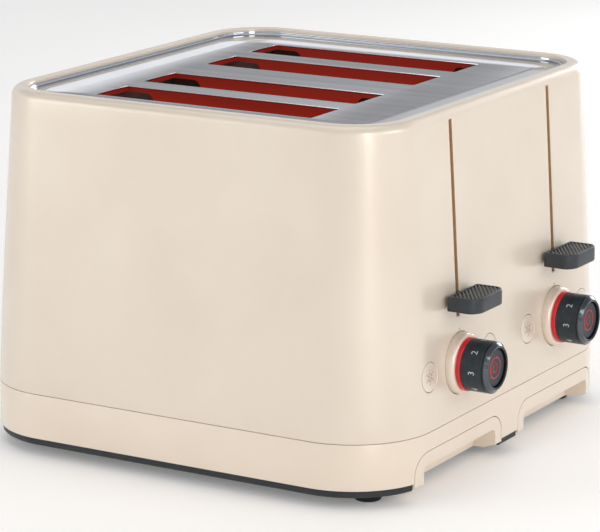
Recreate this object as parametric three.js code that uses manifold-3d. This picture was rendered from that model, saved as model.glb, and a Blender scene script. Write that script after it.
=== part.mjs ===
// Four-slice pop-up toaster: two independent pairs of bread slots, each with its own lever,
// browning knob, stop button, pair of function buttons and crumb tray.
// Millimetres, +Z up. The control face looks along -Y; "left" is -X as seen from that face.
// The model's origin is under the middle of its bounding box, on the surface it stands on.

import * as THREE from 'three';
import { mergeVertices } from 'three/addons/utils/BufferGeometryUtils.js';
import Module from 'manifold-3d';

const wasm = await Module();
wasm.setup();

// ---------------------------------------------------------------- driving dimensions

const gap = 0.3;              // clearance between pieces that touch
const wall = 2.6;             // moulded casing wall
const sheet = 1.2;            // steel sheet of the chassis

// casing
const seam = { halfX: 142.8, front: -137.1, back: 137.1, radius: 48, z: 36.4 };
const crown = { halfX: 133.8, front: -127.9, back: 124.6, radius: 37.4, z: 204.9 };
const taperPower = 1.14;      // how the sides curve from the seam up to the crown
const rimZ = 206.4;
const rimFillet = 5;
const rimWidth = 9.2;
const lipBottomZ = 200.4;
const skirtBottomZ = 10.4;
const baseThickness = 3.8;
const baseInset = 1.2;
const foot = { x: 114.3, y: 109.7, radius: 7.5, recessRadius: 4, recessDepth: 3.5 };
const screw = { radius: 1.9, headRadius: 3.5, headBottom: 1.2, top: 26 };
const boss = { radius: 5, top: 30, ribLength: 15, ribThickness: 2.4, ribHeight: 18 };
const gland = { z: 24, boreRadius: 3.6, sleeveRadius: 6.2, flangeRadius: 8.6, flangeThickness: 2.5 };

// steel top
const plateZ = 201.7;
const plateThickness = 0.8;
const plateFlangeZ = 204.4;
const slotHalfLength = 70.1;
const slotCentreY = 5.7;
const slots = [                // distance of each slot's middle from the toaster's middle
  { name: 'inner', x: 33.3, halfWidth: 16.7 },
  { name: 'outer', x: 81.9, halfWidth: 15.8 },
];
const lining = { depth: 10, endDepth: 2.2, endLength: 18, thickness: 0.8 };

// controls, measured from the middle of each pair
const pairX = 58.65;
const leverSlot = { halfWidth: 1.95, bottom: 92.5, top: 200.7 };
const lever = { halfWidth: 17.2, back: -136.3, front: -155, bottom: 99.1, top: 107.4 };
const leverTravel = 93;
const knobZ = 66.5;
const buttonOffset = 34.8;
const buttonRadius = 8.15;
const knob = {
  collarRadius: 17.2, collarBack: -3.8, collarShoulder: 1.2, collarCrest: 15.2, collarTop: 4.6,
  ringRadius: 15, ringTop: 7.2, barrelRadius: 14.4, barrelTop: 20.1, shaftRadius: 3, boreRadius: 6.5,
  recessRadius: 10.9, recessFloor: 15.6, bezelEdge: 0.6, bezelRadius: 12.2, stopDepth: 1.4, length: 23,
};
const stopTravel = 1.2;
const buttonTravel = 1;

// crumb trays
const tray = { halfWidth: 49, top: 26, bottom: 6.2, radius: 12, back: -121.8, x: 59.2 };
const trayChamfer = { height: 2.8, depth: 7.5 };
const fingerGap = { halfWidth: 41.5, top: 18.4, radius: 3.5, back: -123.4 };
const pan = { halfWidth: 45, front: -121.5, back: 100, floor: 10.5, top: 20, thickness: 0.8 };

// bread chamber and mechanism
const chamber = { front: -69.8, back: 81.2, bottom: 44, top: 200.6, inner: 9.5, outer: 104.8 };
const element = { bottom: 64, top: 186, pitch: 15, half: 0.5, ribbonOut: 1.5, ribbonHalf: 1.3 };
const elements = [             // each pair's heaters, and which of their faces carry ribbon
  { name: 'inner', x: 12.8, faces: [1] },
  { name: 'middle', x: 58, faces: [-1, 1] },
  { name: 'outer', x: 101.2, faces: [-1] },
];
const chassis = { halfX: 118, legTop: 24.5, legX: 116, legHalf: 2, middleLegHalf: 7 };
const guide = { rest: 11.2, wire: 1.6, bottom: 66, top: 186, linkZ: 50 };
const rack = { bottom: 56, top: 62, halfFinger: 9, fingerYs: [-48, -18, 12, 42, 66], halfBar: 0.8 };
const rod = { offset: 12, y: -86, radius: 3, top: 193 };
const bush = { bottom: 70, top: 98, radius: 6 };
const armature = { bottom: 66.5, top: 68.5 };
const magnet = { radius: 5.2, flangeRadius: 6, coreRadius: 2.6, flange: 2, height: 17 };
const board = {
  y: -112, thickness: 1.6, halfX: 108, top: 88, encoderHalf: 7, encoderDepth: 6, switchHalf: 3,
};

// how finely curves are cut
const cornerSteps = 6;
const knobSides = 24;
const smallSides = 14;
const screwSides = 8;

const sides = [
  { name: 'left', sign: -1 },
  { name: 'right', sign: 1 },
];

// ---------------------------------------------------------------- solids

function solidFrom(geometry) {
  const plain = geometry.clone();
  plain.deleteAttribute('normal');
  plain.deleteAttribute('uv');
  const merged = mergeVertices(plain, 1e-4);
  const position = new Float32Array(merged.attributes.position.array);
  const triangles = [];
  for (let i = 0; i < merged.index.count; i += 3) {
    const [a, b, c] = [0, 1, 2].map((k) => merged.index.getX(i + k));
    if (a !== b && b !== c && c !== a) triangles.push(a, b, c);
  }
  const make = (list) => new wasm.Manifold(new wasm.Mesh({
    numProp: 3, vertProperties: position, triVerts: new Uint32Array(list),
  }));
  const solid = make(triangles);
  return solid.volume() > 0 ? solid : make(triangles.reverse());
}

function geometryFrom(solid) {
  const mesh = solid.getMesh();
  const geometry = new THREE.BufferGeometry();
  geometry.setAttribute('position', new THREE.BufferAttribute(new Float32Array(mesh.vertProperties), 3));
  geometry.setIndex(new THREE.BufferAttribute(new Uint32Array(mesh.triVerts), 1));
  geometry.computeVertexNormals();
  return geometry;
}

const joined = (solids) => solids.reduce((whole, next) => whole.add(next));
const cutBy = (solid, cutters) => cutters.reduce((rest, cutter) => rest.subtract(cutter), solid);

function box([x0, x1], [y0, y1], [z0, z1]) {
  const geometry = new THREE.BoxGeometry(x1 - x0, y1 - y0, z1 - z0);
  geometry.translate((x0 + x1) / 2, (y0 + y1) / 2, (z0 + z1) / 2);
  return solidFrom(geometry);
}

// A span of values around a middle, one between two ends in either order, and the whole height.
const about = (middle, half) => [middle - half, middle + half];
const between = (a, b) => (a < b ? [a, b] : [b, a]);
const wholeHeight = [-1, rimZ + 10];

function upright(x, y, radius, [z0, z1], segments = smallSides) {
  const geometry = new THREE.CylinderGeometry(radius, radius, z1 - z0, segments);
  geometry.rotateX(Math.PI / 2);
  geometry.translate(x, y, (z0 + z1) / 2);
  return solidFrom(geometry);
}

function alongY(x, z, radius, [y0, y1], segments = knobSides) {
  const geometry = new THREE.CylinderGeometry(radius, radius, y1 - y0, segments);
  geometry.translate(x, (y0 + y1) / 2, z);
  return solidFrom(geometry);
}

// A profile of [radius, distance out of the face] pairs turned about a line along -Y.
function turned(profile, x, faceY, z) {
  const points = profile.map(([radius, out]) => new THREE.Vector2(radius, out));
  const geometry = new THREE.LatheGeometry(points, knobSides);
  geometry.rotateX(Math.PI);
  geometry.translate(x, faceY, z);
  return solidFrom(geometry);
}

// A shape drawn in X and Z, given thickness along Y.
function facingFront(shape, [y0, y1], curveSegments = 5) {
  const geometry = new THREE.ExtrudeGeometry(shape, { depth: y1 - y0, bevelEnabled: false, curveSegments });
  geometry.rotateX(Math.PI / 2);
  geometry.translate(0, y1, 0);
  return solidFrom(geometry);
}

// A shape drawn in X and Y, given thickness along Z.
function lyingFlat(shape, [z0, z1], curveSegments = 4) {
  const geometry = new THREE.ExtrudeGeometry(shape, { depth: z1 - z0, bevelEnabled: false, curveSegments });
  geometry.translate(0, 0, z0);
  return solidFrom(geometry);
}

// ---------------------------------------------------------------- the casing's curved outline

const lerp = THREE.MathUtils.lerp;

// The casing's outer section at a height: straight below the seam, drawn in above it.
function section(z) {
  const height = THREE.MathUtils.clamp((z - seam.z) / (crown.z - seam.z), 0, 1);
  const u = height ** taperPower;
  return {
    halfX: lerp(seam.halfX, crown.halfX, u),
    front: lerp(seam.front, crown.front, u),
    back: lerp(seam.back, crown.back, u),
    radius: lerp(seam.radius, crown.radius, u),
  };
}

// One ring of points at height z, a rounded rectangle drawn in by inset from the casing's section.
function ringAt(z, inset, cornerRadius = null) {
  const { halfX, front, back, radius } = section(z);
  const r = cornerRadius ?? Math.max(radius - inset, 1);
  const corners = [
    [halfX - inset - r, back - inset - r],
    [-(halfX - inset - r), back - inset - r],
    [-(halfX - inset - r), front + inset + r],
    [halfX - inset - r, front + inset + r],
  ];
  const ring = [];
  corners.forEach(([x, y], quarter) => {
    for (let step = 0; step <= cornerSteps; step += 1) {
      const angle = (quarter + step / cornerSteps) * Math.PI / 2;
      ring.push(new THREE.Vector3(x + r * Math.cos(angle), y + r * Math.sin(angle), z));
    }
  });
  return ring;
}

// Skins a list of rings. A looped skin joins the last ring to the first; an open one is capped.
function skinned(rings, looped) {
  const size = rings[0].length;
  const points = rings.flat();
  const index = [];
  const bands = looped ? rings.length : rings.length - 1;
  for (let band = 0; band < bands; band += 1) {
    const low = band * size;
    const high = ((band + 1) % rings.length) * size;
    for (let i = 0; i < size; i += 1) {
      const next = (i + 1) % size;
      index.push(low + i, low + next, high + next, low + i, high + next, high + i);
    }
  }
  if (!looped) {
    const last = (rings.length - 1) * size;
    [[rings[0], 0, true], [rings.at(-1), last, false]].forEach(([ring, start, under]) => {
      const centre = ring.reduce((sum, p) => sum.add(p), new THREE.Vector3()).divideScalar(size);
      points.push(centre);
      for (let i = 0; i < size; i += 1) {
        const edge = [start + i, start + (i + 1) % size];
        index.push(...(under ? edge.reverse() : edge), points.length - 1);
      }
    });
  }
  const geometry = new THREE.BufferGeometry().setFromPoints(points);
  geometry.setIndex(index);
  return solidFrom(geometry);
}

const faceY = (z) => section(z).front;
const wallLevels = [70, 115, 160, 198];
const casingLevels = [skirtBottomZ - 5, seam.z, ...wallLevels, rimZ];
const casingBlock = skinned(casingLevels.map((z) => ringAt(z, 0)), false);

// ---------------------------------------------------------------- materials

const finish = (color, roughness, metalness = 0, extra = {}) => (
  new THREE.MeshStandardMaterial({ color, roughness, metalness, ...extra })
);
const cream = finish('#e9dcc6', 0.38, 0.1);
const creamGloss = finish('#ecdfcb', 0.25);
const trayCream = finish('#e9dac2', 0.35);
const blackPlastic = finish('#23262a', 0.5);
const rubber = finish('#1b1c1e', 0.85);
const brushedSteel = finish('#b9bcc0', 0.28, 1);
const glowingSteel = finish('#7a1408', 0.5, 0.6, { emissive: '#5a0c04' });
const chassisSteel = finish('#9a9c9e', 0.45, 1);
const reflectorSteel = finish('#b4a79a', 0.35, 1);
const micaBoard = finish('#8b5a3c', 0.7, 0, { emissive: '#a01c08' });
const wire = finish('#8e8a86', 0.35, 1);
const springSteel = finish('#77797c', 0.35, 1);
const slate = finish('#3a4046', 0.45);
const knobBlack = finish('#2b2f34', 0.45);
const chrome = finish('#c9ccd0', 0.12, 1);
const redGlow = finish('#b51217', 0.3, 0, { emissive: '#8a0b0e' });
const copper = finish('#a8562a', 0.4, 0.8);
const boardGreen = finish('#1f5a3a', 0.6);
const screwSteel = finish('#84878a', 0.4, 1);

// ---------------------------------------------------------------- the model

const toaster = new THREE.Group();

function add(name, solid, material) {
  const mesh = new THREE.Mesh(geometryFrom(solid), material);
  mesh.name = name;
  toaster.add(mesh);
}

// ---------------------------------------------------------------- casing

function archShape(x, half, bottom, top, radius) {
  const shape = new THREE.Shape();
  shape.moveTo(x - half, bottom);
  shape.lineTo(x + half, bottom);
  shape.lineTo(x + half, top - radius);
  shape.absarc(x + half - radius, top - radius, radius, 0, Math.PI / 2, false);
  shape.lineTo(x - half + radius, top);
  shape.absarc(x - half + radius, top - radius, radius, Math.PI / 2, Math.PI, false);
  return shape;
}

function bodyShell() {
  const bottom = seam.z + gap / 2;
  const outer = [bottom, ...wallLevels].map((z) => ringAt(z, 0));
  const filletSteps = [1 / 3, 2 / 3, 1];
  filletSteps.forEach((part) => {
    const angle = part * Math.PI / 2;
    const z = rimZ - rimFillet + rimFillet * Math.sin(angle);
    outer.push(ringAt(z, rimFillet * (1 - Math.cos(angle))));
  });
  const rimInner = [
    [rimZ, rimWidth - 0.8], [rimZ - 0.8, rimWidth], [lipBottomZ, rimWidth], [lipBottomZ, wall + 4],
  ];
  const inner = rimInner.map(([z, inset]) => ringAt(z, inset));
  [...wallLevels].reverse().forEach((z) => inner.push(ringAt(z, wall)));
  inner.push(ringAt(bottom, wall));
  const shell = skinned([...outer, ...inner], true);

  const through = [seam.front - 3, crown.front + 12];
  const cuts = [];
  sides.forEach(({ sign }) => {
    const x = sign * pairX;
    cuts.push(box(about(x, leverSlot.halfWidth), through, [leverSlot.bottom, leverSlot.top]));
    cuts.push(alongY(x, knobZ, knob.collarRadius + gap, through));
    [-1, 1].forEach((end) => {
      cuts.push(alongY(x + end * buttonOffset, knobZ, buttonRadius + gap, through));
    });
  });
  return cutBy(shell, cuts);
}

const trayArch = (clearance) => (x) => archShape(
  x, tray.halfWidth + clearance, skirtBottomZ - 4, tray.top + clearance, tray.radius,
);

function skirt() {
  const top = seam.z - gap / 2;
  const band = skinned([
    ringAt(skirtBottomZ, 0), ringAt(top, 0), ringAt(top, wall), ringAt(skirtBottomZ, wall),
  ], true);
  const bosses = [];
  const holes = [];
  [-1, 1].forEach((sx) => [-1, 1].forEach((sy) => {
    const [x, y] = [sx * foot.x, sy * foot.y];
    const rib = new THREE.BoxGeometry(boss.ribLength, boss.ribThickness, boss.ribHeight);
    rib.rotateZ(Math.atan2(sy, sx));
    const out = boss.ribLength / 2;
    rib.translate(x + sx * out, y + sy * out, skirtBottomZ + boss.ribHeight / 2);
    bosses.push(upright(x, y, boss.radius, [skirtBottomZ, boss.top], 10));
    bosses.push(solidFrom(rib).intersect(casingBlock));
    holes.push(upright(x, y, screw.radius + gap, [0, screw.top + 1], screwSides));
  }));
  const arches = sides.map(({ sign }) => (
    facingFront(trayArch(gap + 0.1)(sign * tray.x), [seam.front - 3, tray.back + 2])
  ));
  const glandHole = alongY(0, gland.z, gland.sleeveRadius + gap, [seam.back - wall - 3, seam.back + 3]);
  return cutBy(joined([band, ...bosses]), [...holes, ...arches, glandHole]);
}

function basePlate() {
  const top = skirtBottomZ - gap;
  const bottom = top - baseThickness;
  const plate = skinned([ringAt(bottom, baseInset), ringAt(top, baseInset)], false);
  const notches = sides.map(({ sign }) => (
    box(about(sign * tray.x, tray.halfWidth + gap), [seam.front - 3, tray.back + gap], wholeHeight)
  ));
  const screwHoles = [-1, 1].flatMap((sx) => [-1, 1].map((sy) => (
    upright(sx * foot.x, sy * foot.y, screw.radius + gap, wholeHeight, screwSides)
  )));
  const vents = sides.flatMap(({ sign }) => [-45, -15, 15, 45].map((y) => (
    box(about(sign * tray.x, 30), about(y, 2), wholeHeight)
  )));
  return cutBy(plate, [...notches, ...screwHoles, ...vents]);
}

const footTop = skirtBottomZ - 2 * gap - baseThickness;

function rubberFoot(x, y) {
  const profile = [
    [screw.radius + gap, footTop], [screw.radius + gap, foot.recessDepth],
    [foot.recessRadius, foot.recessDepth], [foot.recessRadius, 0],
    [foot.radius - 1, 0], [foot.radius, 1], [foot.radius, footTop], [screw.radius + gap, footTop],
  ];
  const points = profile.map(([radius, z]) => new THREE.Vector2(radius, z));
  const geometry = new THREE.LatheGeometry(points, 16);
  geometry.rotateX(Math.PI / 2);
  geometry.translate(x, y, 0);
  return solidFrom(geometry);
}

function footScrew(x, y) {
  const head = upright(x, y, screw.headRadius, [screw.headBottom, foot.recessDepth - gap]);
  const shank = upright(x, y, screw.radius, [screw.headBottom + 1, screw.top], screwSides);
  const recess = [screw.headBottom - 1, screw.headBottom + 1];
  const cross = joined([
    box(about(x, 2), about(y, 0.5), recess),
    box(about(x, 0.5), about(y, 2), recess),
  ]);
  return head.add(shank).subtract(cross);
}

function cordGland() {
  const outside = seam.back + gap;
  const inside = seam.back - wall - 6;
  const bore = alongY(0, gland.z, gland.boreRadius, [inside - 1, outside + 10], smallSides);
  return joined([
    alongY(0, gland.z, gland.sleeveRadius, [inside, outside + 1], smallSides),
    alongY(0, gland.z, gland.flangeRadius, [outside, outside + gland.flangeThickness], smallSides),
  ]).subtract(bore);
}

add('body_shell', bodyShell(), cream);
add('skirt', skirt(), creamGloss);
add('base_plate', basePlate(), blackPlastic);
[['front', -1], ['rear', 1]].forEach(([end, sy]) => sides.forEach(({ name, sign }) => {
  add(`foot_${end}_${name}`, rubberFoot(sign * foot.x, sy * foot.y), rubber);
  add(`foot_screw_${end}_${name}`, footScrew(sign * foot.x, sy * foot.y), screwSteel);
}));
add('cord_gland', cordGland(), blackPlastic);

// ---------------------------------------------------------------- steel top

const slotSpan = about(slotCentreY, slotHalfLength);
const slotX = (sign, slot) => sign * slot.x;

function topPlate() {
  const edge = rimWidth + gap + 0.1;
  const rings = [
    ringAt(plateZ - plateThickness, edge + 20, 6),
    ringAt(plateZ - plateThickness + 0.8, edge + 2.2),
    ringAt(plateZ + 0.6, edge),
    ringAt(plateFlangeZ, edge),
    ringAt(plateFlangeZ, edge + plateThickness),
    ringAt(plateZ + 1.5, edge + plateThickness + 0.1),
    ringAt(plateZ + 0.9, edge + 2.2),
    ringAt(plateZ, edge + 20, 6),
  ];
  const openings = sides.flatMap(({ sign }) => slots.map((slot) => (
    box(about(slotX(sign, slot), slot.halfWidth), slotSpan, wholeHeight)
  )));
  return cutBy(skinned(rings, false), openings);
}

function slotLining(sign) {
  const top = plateZ - plateThickness - gap;
  const depth = [top - lining.depth, top];
  const longer = (half) => [slotCentreY - slotHalfLength - half, slotCentreY + slotHalfLength + half];
  const sleeves = slots.map((slot) => (
    box(about(slotX(sign, slot), slot.halfWidth + lining.thickness), longer(lining.thickness), depth)
  ));
  const middles = between(...slots.map((slot) => slotX(sign, slot)));
  const web = box(middles, longer(lining.thickness), [top - lining.thickness, top]);
  const cavities = slots.map((slot) => (
    box(about(slotX(sign, slot), slot.halfWidth), longer(0), wholeHeight)
  ));
  const notches = [-1, 1].map((end) => {
    const outer = slotCentreY + end * (slotHalfLength + 3);
    const inner = slotCentreY + end * (slotHalfLength - lining.endLength);
    return box(about(sign * pairX, pairX), between(outer, inner), [0, top - lining.endDepth]);
  });
  return cutBy(joined([...sleeves, web]), [...cavities, ...notches]);
}

add('top_plate', topPlate(), brushedSteel);
sides.forEach(({ name, sign }) => add(`slot_lining_${name}`, slotLining(sign), glowingSteel));

// ---------------------------------------------------------------- chassis and bread chamber

function chassisPlate(y0, y1) {
  const { halfX, legTop, legX, legHalf, middleLegHalf } = chassis;
  const plate = box([-halfX, halfX], [y0, y1], [legTop, chamber.top]);
  const legs = [[-legX, legHalf], [0, middleLegHalf], [legX, legHalf]].map(([x, half]) => (
    box(about(x, half), [y0, y1], [skirtBottomZ + gap, legTop + 1])
  ));
  const armSlots = sides.flatMap(({ sign }) => slots.map((slot) => (
    box(about(slotX(sign, slot), 2.2), [y0 - 1, y1 + 1], [rack.bottom - 2, rack.top + leverTravel + 2])
  )));
  return cutBy(joined([plate, ...legs]), armSlots);
}

function chassisFront() {
  const y0 = chamber.front - sheet;
  const boardSpan = [board.y + board.thickness + gap, y0 + 0.5];
  const shelves = sides.flatMap(({ sign }) => {
    const x = sign * pairX;
    return [
      box(about(x, 20), boardSpan, [chamber.bottom, chamber.bottom + sheet]),
      box(about(x + sign * rod.offset, 6), [rod.y - 7, y0 + 0.5], [rod.top, rod.top + sheet]),
      box(about(x - sign * rod.offset, 6), [rod.y - 7, y0 + 0.5], [rod.top, rod.top + sheet]),
    ];
  });
  return joined([chassisPlate(y0, chamber.front), ...shelves]);
}

function heatShield(sign) {
  const span = [chamber.front + gap, chamber.back - gap];
  const [near, far] = between(sign * chamber.inner, sign * chamber.outer);
  const block = box([near, far], span, [chamber.bottom, chamber.top]);
  const hollow = box(
    [near + plateThickness, far - plateThickness], [span[0] - 1, span[1] + 1],
    [chamber.bottom + plateThickness, rimZ],
  );
  const crumbDrop = box([near + 4, far - 4], [span[0] + 10, span[1] - 10], [0, chamber.bottom + 5]);
  return cutBy(block, [hollow, crumbDrop]);
}

function heater(x, faces) {
  const span = [chamber.front + gap, chamber.back - gap];
  const mica = box(about(x, element.half), span, [element.bottom, element.top]);
  const ribbonSpan = [chamber.front + 6, chamber.back - 6];
  const ribbons = [];
  faces.forEach((face) => {
    for (let z = element.bottom + 7; z < element.top - 4; z += element.pitch) {
      ribbons.push(box(between(x, x + face * element.ribbonOut), ribbonSpan, about(z, element.ribbonHalf)));
    }
  });
  return joined([mica, ...ribbons]);
}

add('chassis_front', chassisFront(), chassisSteel);
add('chassis_rear', chassisPlate(chamber.back, chamber.back + sheet), chassisSteel);
sides.forEach(({ name, sign }) => {
  add(`heat_shield_${name}`, heatShield(sign), reflectorSteel);
  elements.forEach(({ name: place, x, faces }) => {
    add(`heater_${name}_${place}`, heater(sign * x, faces.map((face) => sign * face)), micaBoard);
  });
});

// ---------------------------------------------------------------- bread guides
// Each pair has two guide frames. One holds the -X grid of both slots and the other the +X grid;
// they close on the bread as the lever goes down and draw apart as it rises.

const grid = { front: -60, back: 72, wires: 8 };
const wirePitch = (grid.back - grid.front) / (grid.wires - 1);

// A grid of wires in one upright plane: a thin plate with a window between each two wires.
function wireGrid(x) {
  const half = guide.wire / 2;
  const plate = box(
    about(x, half), [grid.front - half, grid.back + half], [guide.bottom - half, guide.top + half],
  );
  const windows = [];
  for (let i = 0; i < grid.wires - 1; i += 1) {
    const y = grid.front + i * wirePitch;
    const window = [y + half, y + wirePitch - half];
    windows.push(box(about(x, guide.wire), window, [guide.bottom + half, guide.top - half]));
  }
  return cutBy(plate, windows);
}

function guideFrame(sign, face) {
  const half = guide.wire / 2;
  const places = slots.map((slot) => slotX(sign, slot) + face * guide.rest);
  const [low, high] = between(...places);
  const inset = face < 0 ? 0 : wirePitch;
  const linkYs = [grid.front + inset, grid.back - inset];
  const links = linkYs.map((y) => {
    const bar = box([low - half, high + half], about(y, half), about(guide.linkZ, half));
    const posts = places.map((x) => box(about(x, half), about(y, half), [guide.linkZ, guide.bottom]));
    return joined([bar, ...posts]);
  });
  return joined([...places.map(wireGrid), ...links]);
}

sides.forEach(({ name, sign }) => {
  add(`bread_guide_${name}_a`, guideFrame(sign, -1), wire);
  add(`bread_guide_${name}_b`, guideFrame(sign, 1), wire);
});

// ---------------------------------------------------------------- lift mechanism

const crossPlate = { front: chamber.front - sheet - 4, back: chamber.front - sheet - 2.8 };

function breadRack(sign) {
  const bars = slots.map((slot) => (
    box(about(slotX(sign, slot), rack.halfBar), [crossPlate.front, chamber.back + 5], [rack.bottom, rack.top])
  ));
  const fingers = slots.flatMap((slot) => rack.fingerYs.map((y) => (
    box(about(slotX(sign, slot), rack.halfFinger), about(y, 1), [rack.top - 2, rack.top])
  )));
  const [low, high] = between(...slots.map((slot) => slotX(sign, slot)));
  const span = [crossPlate.front, crossPlate.back];
  const plate = box([low - 3, high + 3], span, [rack.bottom - 3, rack.top + 6]);
  return joined([...bars, ...fingers, plate]);
}

// Runs up and down the guide rod and carries the rack, the lever arm and the latch's armature.
function carriage(sign) {
  const x = sign * pairX;
  const rodX = x + sign * rod.offset;
  const back = crossPlate.front - gap;
  const front = back - sheet;
  const arm = [lever.bottom + 0.9, lever.top - 0.9];
  const whole = joined([
    box(between(x - sign * 18, x + sign * 19), [front, back], [rack.bottom - 3, 90]),
    box(between(x - sign * 5, x + sign * 2), [front, back], [88, arm[1]]),
    box(about(x, 1.3), [lever.front + 7, back], arm),
    box(about(rodX, 1.5), [rod.y, back], [bush.bottom, bush.top]),
    box(between(x - sign * 17, x - sign * 7), [rod.y - 5, back], [armature.bottom, armature.top]),
    upright(rodX, rod.y, bush.radius, [bush.bottom, bush.top]),
  ]);
  return whole.subtract(upright(rodX, rod.y, rod.radius + gap, wholeHeight));
}

function leverHandle(x) {
  const { halfWidth: half, back, front } = lever;
  const shape = new THREE.Shape();
  shape.moveTo(x - half, back);
  shape.lineTo(x + half, back);
  shape.lineTo(x + half + 0.3, front + 7.2);
  shape.quadraticCurveTo(x + half, front + 4.6, x + half - 3.4, front + 2);
  shape.quadraticCurveTo(x + half - 6, front, x + half - 9, front);
  shape.lineTo(x - half + 9, front);
  shape.quadraticCurveTo(x - half + 6, front, x - half + 3.4, front + 2);
  shape.quadraticCurveTo(x - half, front + 4.6, x - half - 0.3, front + 7.2);
  const grip = lyingFlat(shape, [lever.bottom, lever.top], 4);
  const pocket = box(
    about(x, 1.3 + gap), [front + 7 - gap, back + 5], [lever.bottom + 0.6, lever.top - 0.6],
  );
  return grip.subtract(pocket);
}

class Helix extends THREE.Curve {
  constructor(centre, radius, turns, height) {
    super();
    Object.assign(this, { centre, radius, turns, height });
  }

  getPoint(t, target = new THREE.Vector3()) {
    const angle = t * this.turns * 2 * Math.PI;
    return target.set(
      this.centre.x + this.radius * Math.cos(angle),
      this.centre.y + this.radius * Math.sin(angle),
      this.centre.z + t * this.height,
    );
  }
}

// Hangs from the chassis above the armature, and is stretched while the lever is down.
const spring = {
  wire: 0.6, radius: 4.2, turns: 12, stepsPerTurn: 8, bottom: armature.top + gap, top: rod.top - gap,
};

function returnSpring(x) {
  const { wire: thick, radius, turns, bottom, top } = spring;
  const centre = new THREE.Vector3(x, rod.y, bottom + thick);
  const path = new Helix(centre, radius, turns, top - bottom - 2 * thick);
  const round = new THREE.Shape();
  round.absarc(0, 0, thick, 0, 2 * Math.PI, false);
  const geometry = new THREE.ExtrudeGeometry(round, {
    steps: turns * spring.stepsPerTurn, extrudePath: path, bevelEnabled: false, curveSegments: 2,
  });
  return solidFrom(geometry);
}

function latchMagnet(x) {
  const floor = chamber.bottom + sheet + gap;
  return joined([
    upright(x, rod.y, magnet.flangeRadius, [floor, floor + magnet.flange]),
    upright(x, rod.y, magnet.radius, [floor + magnet.flange, floor + magnet.height]),
    upright(x, rod.y, magnet.coreRadius, [floor, armature.bottom - gap]),
  ]);
}

sides.forEach(({ name, sign }) => {
  const x = sign * pairX;
  const rodX = x + sign * rod.offset;
  const rodSpan = [chamber.bottom + sheet + gap, rod.top - gap];
  add(`bread_rack_${name}`, breadRack(sign), wire);
  add(`carriage_${name}`, carriage(sign), chassisSteel);
  add(`lever_handle_${name}`, leverHandle(x), slate);
  add(`guide_rod_${name}`, upright(rodX, rod.y, rod.radius, rodSpan), chrome);
  const latchX = x - sign * rod.offset;
  add(`return_spring_${name}`, returnSpring(latchX), springSteel);
  add(`latch_magnet_${name}`, latchMagnet(latchX), copper);
});

// ---------------------------------------------------------------- controls

const encoderFront = board.y - board.encoderDepth;
const knobFaceY = faceY(knobZ);

function controlBoard() {
  const { y, thickness, halfX, top, encoderHalf, switchHalf } = board;
  const sheetOfBoard = box([-halfX, halfX], [y, y + thickness], [chamber.bottom, top]);
  const parts = sides.flatMap(({ sign }) => {
    const x = sign * pairX;
    const encoder = box(about(x, encoderHalf), [encoderFront, y + 0.5], about(knobZ, encoderHalf));
    const switches = [-1, 1].map((end) => (
      box(about(x + end * buttonOffset, switchHalf), [encoderFront + 1, y + 0.5], about(knobZ, switchHalf))
    ));
    return [encoder, ...switches];
  });
  return joined([sheetOfBoard, ...parts]);
}

function collar(x) {
  const { boreRadius, collarRadius: radius, collarBack: back, collarShoulder, collarCrest, collarTop } = knob;
  const profile = [[boreRadius, back], [radius, back], [radius, collarShoulder]];
  const steps = 3;
  for (let i = 1; i <= steps; i += 1) {
    const angle = (i / steps) * Math.PI / 2;
    profile.push([
      collarCrest + (radius - collarCrest) * Math.cos(angle),
      collarShoulder + (collarTop - collarShoulder) * Math.sin(angle),
    ]);
  }
  profile.push([boreRadius, collarTop], [boreRadius, back]);
  return turned(profile, x, knobFaceY, knobZ);
}

function lightRing(x) {
  const [low, high] = [knob.collarTop + gap, knob.ringTop];
  const { boreRadius: bore, ringRadius: outer } = knob;
  return turned([[bore, low], [outer, low], [outer, high], [bore, high], [bore, low]], x, knobFaceY, knobZ);
}

function knobBarrel(x) {
  const shaftEnd = knobFaceY - encoderFront + gap;
  const profile = [
    [0, shaftEnd], [knob.shaftRadius, shaftEnd], [knob.shaftRadius, knob.ringTop + gap],
    [knob.barrelRadius, knob.ringTop + gap], [knob.barrelRadius, knob.barrelTop],
    [knob.recessRadius, knob.barrelTop], [knob.recessRadius, knob.recessFloor], [0, knob.recessFloor],
  ];
  return turned(profile, x, knobFaceY, knobZ);
}

function knobBezel(x) {
  const low = knob.barrelTop + gap;
  const profile = [
    [knob.recessRadius, low], [knob.barrelRadius, low], [knob.barrelRadius, low + knob.bezelEdge],
    [knob.bezelRadius, knob.length], [knob.recessRadius, knob.length], [knob.recessRadius, low],
  ];
  return turned(profile, x, knobFaceY, knobZ);
}

function stopButton(x) {
  const radius = knob.recessRadius - 0.4;
  const low = knob.recessFloor + gap + stopTravel;
  const high = knob.length - knob.stopDepth;
  const edge = 0.6;
  const profile = [[0, low], [radius, low], [radius, high - edge], [radius - edge, high], [0, high]];
  return turned(profile, x, knobFaceY, knobZ);
}

function functionButton(x) {
  const cap = alongY(x, knobZ, buttonRadius, [seam.front - 2, knobFaceY + 6]).intersect(casingBlock);
  const plunger = alongY(x, knobZ, 2, [knobFaceY + 5, encoderFront + 1 - gap - buttonTravel], smallSides);
  return cap.add(plunger);
}

add('control_board', controlBoard(), boardGreen);
sides.forEach(({ name, sign }) => {
  const x = sign * pairX;
  add(`knob_collar_${name}`, collar(x), creamGloss);
  add(`light_ring_${name}`, lightRing(x), redGlow);
  add(`knob_barrel_${name}`, knobBarrel(x), knobBlack);
  add(`knob_bezel_${name}`, knobBezel(x), chrome);
  add(`stop_button_${name}`, stopButton(x), knobBlack);
  add(`function_button_${name}_a`, functionButton(x - buttonOffset), cream);
  add(`function_button_${name}_b`, functionButton(x + buttonOffset), cream);
});

// ---------------------------------------------------------------- crumb trays

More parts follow.
